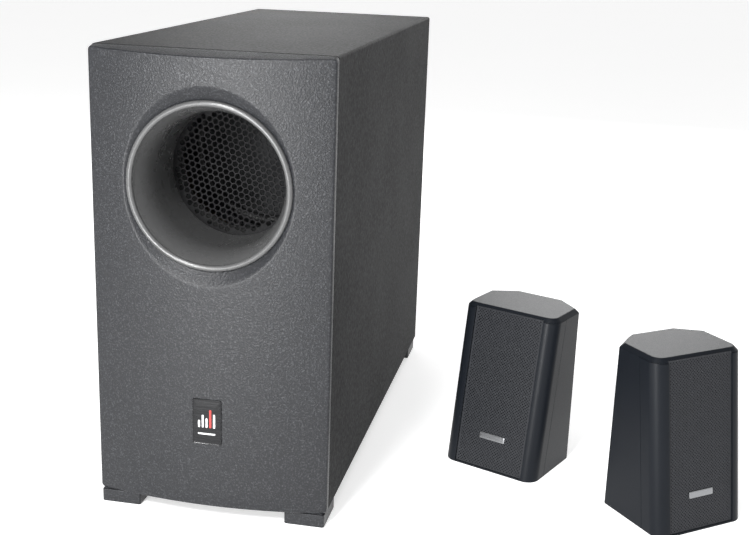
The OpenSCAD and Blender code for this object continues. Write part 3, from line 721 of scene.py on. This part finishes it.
def top_pull(z):
    """Share of the top's slope that the panel's outline follows at a height."""
    return min(max((z - cab_high.z + PANEL_FADE) / PANEL_FADE, 0), 1)


def face_ring(angles, radius_of):
    """Ring on the panel's face, at a radius from the port's axis for each angle."""
    ring = []
    for a in angles:
        r = radius_of(a)
        x, z = r * math.cos(a), PORT_Z + r * math.sin(a)
        ring.append((x, -panel_depth(x, z), z))
    return ring


def rings_between(inner, outer, steps):
    """Rings on the panel's face that lead from one ring to another, both left out."""
    rings = []
    for i in range(1, steps):
        ring = []
        for p, q in zip(inner, outer):
            x, z = mix(p[0], q[0], i / steps), mix(p[2], q[2], i / steps)
            ring.append((x, -panel_depth(x, z), z))
        rings.append(ring)
    return rings


def edge_ring(angles, share):
    """Ring at a share of the rounded edge, from the face at zero to the side at one."""
    side = math.radians(90 * share)
    over = side * PANEL_TOP_TURN
    inset = PANEL_FILLET * (1 - math.sin(side))
    corner = PANEL_FILLET * math.tan(math.radians(90) * PANEL_TOP_TURN / 2)
    top_inset = corner - PANEL_FILLET * math.sin(over)
    ring = []
    for a in angles:
        x, z, top = panel_rim(a, inset, top_inset)
        drop = PANEL_FILLET * (1 - math.cos(mix(side, over, top)))
        ring.append((x, drop - bow(x), z - PANEL_SLOPE * bow(x) * top_pull(z)))
    return ring


def back_ring(angles, depth, inset):
    """Ring round the panel's outline at a depth in front of its joint."""
    ring = []
    for a in angles:
        x, z, _ = panel_rim(a, inset, inset)
        ring.append((x, -depth, z - PANEL_SLOPE * depth * top_pull(z)))
    return ring


def front_panel(finishes):
    """The bowed panel, as rings from the port's recess over the face to the back."""
    angles = panel_angles()
    face_steps, edge_steps = 14, 6
    rings = []
    for share in (0, 0.25, 0.5, 0.7, 0.85, 0.95, 1):
        rings.append(face_ring(angles, lambda a: mix(RECESS_R, recess_reach(a), share)))
    for past in (0.3, 0.7, 1.2, 2.0):
        rings.append(face_ring(angles, lambda a: recess_reach(a) + past * MM))
    rings += rings_between(rings[-1], edge_ring(angles, 0), face_steps)
    rings += [edge_ring(angles, i / edge_steps) for i in range(edge_steps + 1)]
    rings.append(back_ring(angles, PANEL_LIP + 0.1 * MM, 0))
    rings.append(back_ring(angles, PANEL_LIP, PANEL_REVEAL))
    rings.append(back_ring(angles, 0, PANEL_REVEAL))
    rings.append([(RECESS_R * math.cos(a), 0, PORT_Z + RECESS_R * math.sin(a)) for a in angles])
    mesh = loft(rings, closed=True)
    show("front_panel", mesh, "subwoofer", finishes["panel_plastic"],
         ["sub_front_panel"], sub_place(), level=False)


def port_trim(finishes):
    """The beaded flare: a fat bright bead, a fine groove and a curve that runs out into the throat."""
    lip_r = 63.3 * MM
    bead_r = 2.4 * MM
    throat_r, throat_wall = 52 * MM, 3 * MM
    curve_r, curve_end = 60 * MM, 18 * MM
    curve_start = -9.6 * MM
    bead_turn, bead_steps = -212, 20
    groove_w, groove_step = 0.45 * MM, 0.15 * MM
    bead = arc((lip_r - bead_r, -RECESS_DEPTH), bead_r, 0, bead_turn, bead_steps)
    groove = [(bead[-1][0] + groove_w, bead[-1][1] + groove_step)]
    curve = []
    steps = 28
    for i in range(steps + 1):
        depth = mix(curve_start, curve_end, i / steps)
        curve.append((throat_r + curve_r - math.sqrt(curve_r**2 - (curve_end - depth) ** 2), depth))
    end = flare_high.y - JOINT_Y
    outside_r, back_gap = throat_r + throat_wall, 0.2 * MM
    tail = [(throat_r, end), (outside_r, end), (outside_r, back_gap), (lip_r, back_gap)]
    mesh = spin(bead + groove + curve + tail, 224)
    show("port_trim", mesh, "subwoofer", finishes["gloss_plastic"],
         ["port_flare"], sub_place(PORT_Z), level=False)


def lens_depth(x, z):
    """Depth of the badge's domed lens behind its highest point, at a place from its middle."""
    across = 1 - min(abs(x) / LENS_HALF_W, 1) ** 4
    along = 1 - min(abs(z) / LENS_HALF_H, 1) ** 6
    return BADGE_DOME - BADGE_DOME * across * along


def badge(finishes):
    """A domed lens in a thin raised rim."""
    back = badge_high.y - BADGE_FRONT
    rim = [(0, back), (0, 0.7 * MM), (0.15 * MM, 0.45 * MM), (0.5 * MM, 0.3 * MM), (BADGE_RIM, 0.4 * MM)]
    rim_corner, lens_corner = 1.6 * MM, 0.7 * MM
    rings = []
    for inset, y in rim:
        outline = rounded_rect(BADGE_HALF_W - inset, inset - BADGE_HALF_H, BADGE_HALF_H - inset,
                               rim_corner - inset, 5)
        rings.append([(x, y, z) for x, z in outline])
    for share in (0.97, 0.93, 0.87, 0.78, 0.66, 0.5, 0.3, 0.1):
        half_h = LENS_HALF_H * share
        outline = rounded_rect(LENS_HALF_W * share, -half_h, half_h, lens_corner * share, 5)
        rings.append([(x, lens_depth(x, z), z) for x, z in outline])
    show("badge", loft(rings), "subwoofer", finishes["badge_gloss"],
         ["sub_badge"], BADGE_PLACE, level=False)


def printed_bar(name, x, z, size, colour):
    """A printed bar with round ends about a point of the badge, laid over the dome in slices."""
    wide, tall = size
    half_l, radius = max(size) / 2, min(size) / 2
    lift = 0.05 * MM
    steps = 24
    rings = []
    for i in range(steps + 1):
        along = -half_l * math.cos(math.pi * i / steps)
        past = max(abs(along) - half_l + radius, 0)
        across = math.sqrt(max(radius**2 - past**2, 0))
        if wide > tall:
            sides = [(x + along, z - across), (x + along, z + across)]
        else:
            sides = [(x + across, z + along), (x - across, z + along)]
        top = [(u, lens_depth(u, w) - lift, w) for u, w in sides]
        rings.append(top + [(u, y + 2 * lift, w) for u, y, w in reversed(top)])
    show(name, loft(rings), "subwoofer", printed(name, colour), (), BADGE_PLACE, level=False)


def badge_marks():
    """A plain row of bars, the tallest one red, over a line."""
    white, red = (0.45, 0.455, 0.46), (0.36, 0.03, 0.025)
    pitch = 3.0 * MM
    foot = -4.5 * MM
    bar_w = 1.7 * MM
    tall_bars = [6.0, 10.5, 8.0, 15.0, 11.5]  # mm
    for i, tall in enumerate(tall_bars):
        x = (i - 2) * pitch
        colour = red if tall == max(tall_bars) else white
        printed_bar(f"badge_bar_{i + 1}", x, foot + tall / 2 * MM, (bar_w, tall * MM), colour)
    printed_bar("badge_line", 0, -9.5 * MM, (14 * MM, 1.5 * MM), white)


def feet(finishes):
    """Four block feet, each with a slightly smaller neck that leaves a shadow line under the cabinet."""
    size = (32 * MM, 36 * MM)
    low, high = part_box("sub_feet")
    tall = (high.z - low.z) / MM
    neck_h, neck_in, corner = 0.8, 1.6, 1.6
    profile = [(0, 0.9), (0.25, 0.25), (0.9, 0), (tall - 1.6, 0), (tall - 1.0, 0.15),
               (tall - neck_h, 0.6), (tall - neck_h, neck_in), (tall, neck_in)]  # height and inset, mm
    for row, y in (("front", low.y + size[1] / 2), ("back", high.y - size[1] / 2)):
        for side, x in (("left", low.x + size[0] / 2), ("right", high.x - size[0] / 2)):
            rings = []
            for z, inset in profile:
                half_w, half_d = size[0] / 2 - inset * MM, size[1] / 2 - inset * MM
                outline = rounded_rect(half_w, -half_d, half_d, (corner - 0.5 * inset) * MM, 4)
                rings.append([(u, v, z * MM) for u, v in outline])
            replaced = ["sub_feet"] if (row, side) == ("front", "left") else []  # one node for all four
            show(f"foot_{row}_{side}", loft(rings), "subwoofer", finishes["panel_plastic"],
                 replaced, Matrix.Translation((x, y, low.z)))


# ---- satellites ----

SAT_HALF_W = 44 * MM
SAT_H = 140 * MM
SAT_RAKE = 23 * MM
SAT_SIDE = 45 * MM
SAT_CHAMFER_W = 22 * MM
SAT_CHAMFER_D = 16 * MM
SAT_CORNER = 11 * MM
SAT_BEVEL = 3.5 * MM
SAT_WALL = 2.5 * MM
SAT_SEAM = 20 * MM
SAT_BACK_SOFT = 2.0 * MM
SAT_LEAN = math.atan(SAT_RAKE / SAT_H)
GRILLE_HALF_W = 32 * MM
GRILLE_GAP = 0.2 * MM
GRILLE_LOW = 1.8 * MM
GRILLE_HIGH = 140 * MM
GRILLE_DEPTH = 1.3 * MM
GRILLE_T = 1.2 * MM
BAFFLE_DEPTH = 6 * MM
BAFFLE_T = 3 * MM
DRIVER_UP = 82 * MM
DRIVER_HOLE_R = 31.2 * MM
HOLE_PITCH = 2.8 * MM
HOLE_ROW = HOLE_PITCH / 2
HOLE_R = 0.56 * MM
TERMINAL_HALF_W = 13.2 * MM
TERMINAL_LOW = 22.3 * MM
TERMINAL_HIGH = 41.7 * MM
SEAM_GAP = 0.15 * MM  # on each side of the bezel's joint
SHELL_EDGE = 0.25 * MM
BEZEL_EDGE = 0.3 * MM
LEAN = Matrix.Rotation(-SAT_LEAN, 4, "X")


def sat_outline(z, inset):
    """Plan of a satellite at a height and an inset: raked front, round corners, chamfered back."""
    front_steps, pillar_steps, side_steps, back_steps = 6, 14, 5, 4
    front = SAT_RAKE * z / SAT_H + inset
    radius = max(SAT_CORNER - inset, 0.5 * MM)
    half = SAT_HALF_W - inset
    stretch = 1 / math.cos(SAT_LEAN)
    chamfer = math.atan2(SAT_CHAMFER_W, SAT_CHAMFER_D)
    side_y = SAT_RAKE + SAT_SIDE - inset * math.tan(chamfer / 2)
    back_x = SAT_HALF_W - SAT_CHAMFER_W - inset * math.tan((math.pi / 2 - chamfer) / 2)
    back_y = SAT_RAKE + SAT_SIDE + SAT_CHAMFER_D - inset
    right = [((half - radius) * i / front_steps, front) for i in range(front_steps)]
    for x, y in arc((half - radius, 0), radius, -90, 0, pillar_steps):
        right.append((x, front + radius * stretch + y * stretch))
    side_start = right[-1][1]
    turns = [((half, side_y), 0, math.degrees(chamfer)), ((back_x, back_y), math.degrees(chamfer), 90)]
    right += [(half, mix(side_start, side_y, i / side_steps)) for i in range(1, side_steps)]
    for (x, y), start, end in turns:
        bend = math.radians(end - start) / 2
        middle = math.radians((start + end) / 2)
        out = SAT_BACK_SOFT / math.cos(bend)
        centre = (x - out * math.cos(middle), y - out * math.sin(middle))
        right += arc(centre, SAT_BACK_SOFT, start, end, 5)
    right += [(right[-1][0] * (1 - i / back_steps), back_y) for i in range(1, back_steps + 1)]
    left = [(-x, y) for x, y in reversed(right[1:-1])]
    return right + left


def sat_body():
    """The whole outer form, closed, with soft bottom edges and a bevel round the top."""
    soft = 0.6
    tall = SAT_H / MM
    bevel = SAT_BEVEL / MM
    profile = [(0, soft), (0.25 * soft, 0.25 * soft), (soft, 0)]  # height and inset, mm
    profile += [(mix(soft, tall - bevel - soft, i / 8), 0) for i in range(1, 9)]
    profile += [(tall - bevel - 0.1, 0.12), (tall - bevel + 0.35, 0.45)]
    profile += [(tall - 0.55, bevel - 0.45), (tall - 0.15, bevel + 0.05), (tall, bevel + 0.75)]
    rings = []
    for z, inset in profile:
        rings.append([(x, y, z * MM) for x, y in sat_outline(z * MM, inset * MM)])
    return loft(rings)


def bezel_zone(gap):
    """Everything in front of the bezel's joint and under the top cap, short of it by a gap."""
    reach = 3 * SAT_H
    front = leaning_block((-reach, -reach, -reach), (reach, SAT_SEAM - gap, reach))
    under_cap = block((-reach, -reach, -reach), (reach, reach, SAT_H - SAT_BEVEL - gap))
    return combined(front, under_cap, "INTERSECT")


def leaning_block(low, high):
    mesh = block(low, high)
    mesh.transform(LEAN)
    return mesh


def sat_shell():
    """The hollow rear shell and top cap, notched for the grille and open for the terminal."""
    mesh = combined(sat_body(), bezel_zone(-SEAM_GAP), "DIFFERENCE")
    cap_gap = 0.01 * MM
    rings = []
    for z in (SAT_WALL, SAT_H - SAT_BEVEL - cap_gap):
        rings.append([(x, y, z) for x, y in sat_outline(0, SAT_WALL)])
    mesh = combined(mesh, loft(rings), "DIFFERENCE")
    seat = GRILLE_DEPTH + GRILLE_T
    notch = leaning_block((-GRILLE_HALF_W, -seat, 0), (GRILLE_HALF_W, seat, GRILLE_HIGH + GRILLE_GAP))
    mesh = combined(mesh, notch, "DIFFERENCE")
    inside, outside = 50 * MM, 100 * MM
    opening = block((-TERMINAL_HALF_W, inside, TERMINAL_LOW), (TERMINAL_HALF_W, outside, TERMINAL_HIGH))
    mesh = combined(mesh, opening, "DIFFERENCE")
    round_edges(mesh, SHELL_EDGE)
    return mesh


def sat_bezel():
    """The front bezel: a seat for the grille, a window over the baffle and a hole for the driver."""
    mesh = combined(sat_body(), bezel_zone(SEAM_GAP), "INTERSECT")
    foot = 1.6 * MM
    window_foot = 5 * MM
    ledge = 3 * MM
    window = GRILLE_HALF_W - ledge
    tall = 2 * SAT_H
    seat = GRILLE_DEPTH + GRILLE_T
    cuts = [
        leaning_block((-GRILLE_HALF_W, -seat, foot), (GRILLE_HALF_W, seat, tall)),
        leaning_block((-window, -seat, window_foot), (window, BAFFLE_DEPTH, tall)),
    ]
    circle = whole_circle((0, DRIVER_UP), DRIVER_HOLE_R, 64)
    hole = loft([[(x, y, z) for x, z in circle] for y in (0, SAT_SEAM)])
    hole.transform(LEAN)
    half = SAT_HALF_W - SAT_WALL
    inside = leaning_block((-half, BAFFLE_DEPTH + BAFFLE_T, -SAT_H), (half, SAT_H, tall))
    above = block((-SAT_H, -SAT_H, SAT_WALL), (SAT_H, SAT_H, tall))
    cuts += [hole, combined(inside, above, "INTERSECT")]
    for cutter in cuts:
        mesh = combined(mesh, cutter, "DIFFERENCE")
    round_edges(mesh, BEZEL_EDGE)
    return mesh


def hole_cell(left, low):
    """Faces of a brick-shaped cell with a round hole in its middle."""
    middle, high = low + HOLE_ROW / 2, low + HOLE_ROW
    centre, right = left + HOLE_PITCH / 2, left + HOLE_PITCH
    outer = [(right, middle), (right, high), (centre, high), (left, high),
             (left, middle), (left, low), (centre, low), (right, low)]
    sides = len(outer)
    inner = whole_circle((centre, middle), HOLE_R, sides)
    return [[outer[k], outer[(k + 1) % sides], inner[(k + 1) % sides], inner[k]] for k in range(sides)]


def end_cell(edge, hole_side, row_side, low):
    """The face from a row's last hole to the sheet's edge. The row may be set in from the others."""
    middle, high = low + HOLE_ROW / 2, low + HOLE_ROW
    stops = [(hole_side, low), (hole_side, middle), (hole_side, high)]
    if hole_side != row_side:
        stops = [(row_side, low)] + stops + [(row_side, high)]
    return [(edge, low)] + stops + [(edge, high)]


def perforated_sheet():
    """Faces of a flat sheet with round holes in staggered rows."""
    half_w = GRILLE_HALF_W - GRILLE_GAP
    edge_w, edge_h = 1.0 * MM, 2.4 * MM
    columns = int(2 * (half_w - edge_w) / HOLE_PITCH)
    rows = int((GRILLE_HIGH - GRILLE_LOW - edge_h) / HOLE_ROW)
    rows -= 1 - rows % 2
    left = -columns * HOLE_PITCH / 2
    base = (GRILLE_LOW + GRILLE_HIGH - rows * HOLE_ROW) / 2
    cells = []
    for j in range(rows):
        low = base + j * HOLE_ROW
        shift = HOLE_PITCH / 2 * (j % 2)
        for i in range(columns - j % 2):
            cells += hole_cell(left + shift + i * HOLE_PITCH, low)
        cells.append(end_cell(-half_w, left + shift, left, low))
        cells.append(end_cell(half_w, -left - shift, -left, low))
    stops = [-half_w] + [left + i * HOLE_PITCH / 2 for i in range(2 * columns + 1)] + [half_w]
    for inner_z, outer_z in ((base, GRILLE_LOW), (base + rows * HOLE_ROW, GRILLE_HIGH)):
        for x0, x1 in zip(stops, stops[1:]):
            cells.append([(x0, inner_z), (x1, inner_z), (x1, outer_z), (x0, outer_z)])
    return cells


def sat_grille():
    """The perforated sheet given its thickness, with its front facing -Y before it is leant back."""
    cells = perforated_sheet()
    points = [(x, 0.0, z) for cell in cells for x, z in cell]
    faces = []
    for cell in cells:
        start = faces[-1][-1] + 1 if faces else 0
        faces.append(tuple(range(start, start + len(cell))))
    mesh = bpy.data.meshes.new("shape")
    mesh.from_pydata(points, [], faces)
    thickness = 0.9 * MM
    with editing(mesh) as work:
        bmesh.ops.remove_doubles(work, verts=work.verts, dist=0.01 * MM)
        for face in work.faces:
            if face.normal.y > 0:
                face.normal_flip()
        front = list(work.faces)
        copied = bmesh.ops.duplicate(work, geom=front + list(work.edges) + list(work.verts))
        back = [g for g in copied["geom"] if isinstance(g, bmesh.types.BMFace)]
        back_verts = [g for g in copied["geom"] if isinstance(g, bmesh.types.BMVert)]
        bmesh.ops.translate(work, verts=back_verts, vec=(0, thickness, 0))
        bmesh.ops.reverse_faces(work, faces=back)
        twins = copied["vert_map"]
        for face in front:
            for edge in face.edges:
                if len(edge.link_faces) == 1 and edge.link_faces[0] is face:
                    a, b = edge.verts
                    work.faces.new((a, b, twins[b], twins[a]))
        bmesh.ops.recalc_face_normals(work, faces=work.faces)
    mesh.transform(LEAN @ Matrix.Translation((0, GRILLE_DEPTH, 0)))
    return mesh


def sat_plaque():
    """A small blank plate with a rounded outline and a crowned face."""
    half_w, half_h, up = 12 * MM, 2.75 * MM, 30 * MM
    profile = [(0, 0), (0, 0.35), (0.12, 0.55), (0.35, 0.66), (0.9, 0.7), (1.8, 0.7)]  # inset and height, mm
    rings = []
    for inset, height in profile:
        d = inset * MM
        outline = rounded_rect(half_w - d, d - half_h, half_h - d, 0.9 * MM - 0.4 * d, 4)
        rings.append([(x, -height * MM, z) for x, z in outline])
    mesh = loft(rings)
    mesh.transform(LEAN @ Matrix.Translation((0, GRILLE_DEPTH, up)))
    return mesh


def sat_place(side):
    """From a satellite's own frame, at the middle of its front bottom edge, to the row frame."""
    joint = next(j for j in frame["joints"] if j["name"] == f"{side}_cone_travel")
    mount = next(m for m in frame["record"]["mounts"] if m["name"] == f"{side}_satellite_base")
    yaw = math.atan2(joint["axis"][0], -joint["axis"][1])
    turn = Matrix.Rotation(yaw, 4, "Z")
    mount_behind = 50 * MM
    return Matrix.Translation(Vector(mount["pos_m"]) - turn @ Vector((0, mount_behind, 0))) @ turn


def satellites(finishes):
    shapes = {
        "rear_shell": (sat_shell(), "satellite_plastic"),
        "front_bezel": (sat_bezel(), "satellite_plastic"),
        "grille": (sat_grille(), "grille_paint"),
        "badge": (sat_plaque(), "plaque_metal"),
    }
    for side in ("left", "right"):
        place = sat_place(side)
        for part, (mesh, slot) in shapes.items():
            show(f"{side}_{part}_skin", mesh.copy(), f"{side}_satellite", finishes[slot],
                 [f"{side}_{part}"], place, level=part != "grille")


# ---- pieces that keep their CAD shape ----


def slot_of(node):
    return next(row["material_slot"] for row in frame["record"]["subparts"] if row["node"] == node)


def finish_nodes(finishes):
    """Gives every CAD node the finish of its slot in the record."""
    for name, node in frame["nodes"].items():
        node.data.materials.clear()
        node.data.materials.append(finishes[slot_of(name)])


def body_of(node):
    bodies = frame["record"]["behaviour"]["bodies"]
    return next(body for body, nodes in bodies.items() if node in nodes)


def softened(node, width, finishes, turn=0.0):
    """A CAD node's own shape with its sharp edges rounded, turned about +Y through its middle."""
    mesh = frame["nodes"][node].data.copy()
    with editing(mesh) as work:
        bmesh.ops.remove_doubles(work, verts=work.verts, dist=0.001 * MM)
        bmesh.ops.dissolve_limit(work, angle_limit=math.radians(1), verts=work.verts, edges=work.edges)
    round_edges(mesh, width)
    low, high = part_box(node)
    middle = Matrix.Translation((low + high) / 2)
    slot = slot_of(node)
    show(f"{node}_skin", mesh, body_of(node), finishes[slot], [node],
         middle @ Matrix.Rotation(math.radians(turn), 4, "Y") @ middle.inverted())


# ---- rear details ----

PLATE_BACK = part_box("amp_plate")[1].y


def knob_pointer(knob, white):
    """A white pointer in the groove of the knob's face."""
    half_w, inner, outer = 0.5 * MM, 2.4 * MM, 7.7 * MM
    pointer = block((-half_w, -0.7 * MM, inner), (half_w, -0.35 * MM, outer))
    round_edges(pointer, 0.1 * MM)
    show(f"{knob}_pointer", pointer, body_of(knob), white, (), middle_of(knob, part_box(knob)[1].y))


def knob_scale(knob, white):
    """The ticks of the knob's scale, printed on the plate. Every fifth one is long."""
    ticks, sweep = 11, 150  # degrees each way
    inner, half_w, short, long = 10.2 * MM, 0.28 * MM, 1.5 * MM, 2.6 * MM
    print_t = 0.05 * MM
    points, faces = [], []
    for i in range(ticks):
        turn = Matrix.Rotation(math.radians(sweep * (2 * i / (ticks - 1) - 1)), 3, "Y")
        outer = inner + (long if i % 5 == 0 else short)
        corners = [(-half_w, inner), (half_w, inner), (half_w, outer), (-half_w, outer)]
        base = len(points)
        for y in (-print_t, print_t):
            points += [turn @ Vector((x, y, z)) for x, z in corners]
        faces += [tuple(base + k for k in face) for face in
                  ((0, 1, 2, 3), (7, 6, 5, 4), (0, 4, 5, 1), (1, 5, 6, 2), (2, 6, 7, 3), (3, 7, 4, 0))]
    show(f"{knob}_scale", mesh_of(points, faces), "subwoofer", white, (),
         middle_of(knob, PLATE_BACK))


def jack_rings():
    """The coloured insulator in the mouth of each input jack."""
    low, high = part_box("input_jacks")
    jack_x, mouth_r, rim_r = 7 * MM, 1.75 * MM, 3.25 * MM
    deep, proud = -2 * MM, 0.3 * MM
    profile = [(mouth_r, deep), (mouth_r, 0.15 * MM), (mouth_r + 0.15 * MM, proud)]
    profile += [(3.05 * MM, proud), (rim_r, 0.1 * MM), (rim_r, deep)]
    for name, side, colour in (("white", -1, (0.75, 0.74, 0.71)), ("red", 1, (0.5, 0.02, 0.015))):
        plastic = satin_plastic(f"{name}_insulator", colour, 0.0006, 0.3)
        show(f"jack_ring_{name}", spin(profile, 48), "subwoofer", plastic, (),
             Matrix.Translation((SUB_X + side * jack_x, high.y, (low.z + high.z) / 2)))


def printed_frame(node, margin):
    """A thin line printed on the plate all round a node."""
    low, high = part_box(node)
    half_w, half_h = (high.x - low.x) / 2 + margin, (high.z - low.z) / 2 + margin
    line_w, print_t, corner = 0.45 * MM, 0.05 * MM, 1.5 * MM
    rings = []
    for inset, y in ((0, -print_t), (0, print_t), (line_w, print_t), (line_w, -print_t)):
        outline = rounded_rect(half_w - inset, inset - half_h, half_h - inset, corner - inset, 5)
        rings.append([(x, y, z) for x, z in outline])
    show(f"{node}_outline", loft(rings, closed=True), "subwoofer",
         printed(f"{node}_print", (0.5, 0.5, 0.49)), (), middle_of(node, PLATE_BACK))


def rear_details(finishes):
    """Rounded edges on all that shows from behind, and printed marks."""
    softened("amp_plate", 0.5 * MM, finishes)
    softened("input_jacks", 0.15 * MM, finishes)
    for node in ("mains_inlet", "power_switch_frame", "power_rocker", "speaker_terminals",
                 "left_terminal", "right_terminal"):
        softened(node, 0.3 * MM, finishes)
    for i in range(4):
        softened(f"sub_lever_{i + 1}", 0.25 * MM, finishes)
    for side in ("left", "right"):
        for i in range(2):
            softened(f"{side}_lever_{i + 1}", 0.25 * MM, finishes)
    for knob in ("volume_knob", "bass_knob"):
        softened(knob, 0.2 * MM, finishes, turn=180)
        white = printed(f"{knob}_print", (0.78, 0.78, 0.77))
        knob_pointer(knob, white)
        knob_scale(knob, white)
    jack_rings()
    for node in ("speaker_terminals", "mains_inlet", "power_switch_frame"):
        printed_frame(node, 2 * MM)


make_camera()
make_studio()
make_floor()
finishes = make_finishes()
finish_nodes(finishes)
cabinet_wrap(finishes)
front_panel(finishes)
port_trim(finishes)
badge(finishes)
badge_marks()
feet(finishes)
satellites(finishes)
rear_details(finishes)
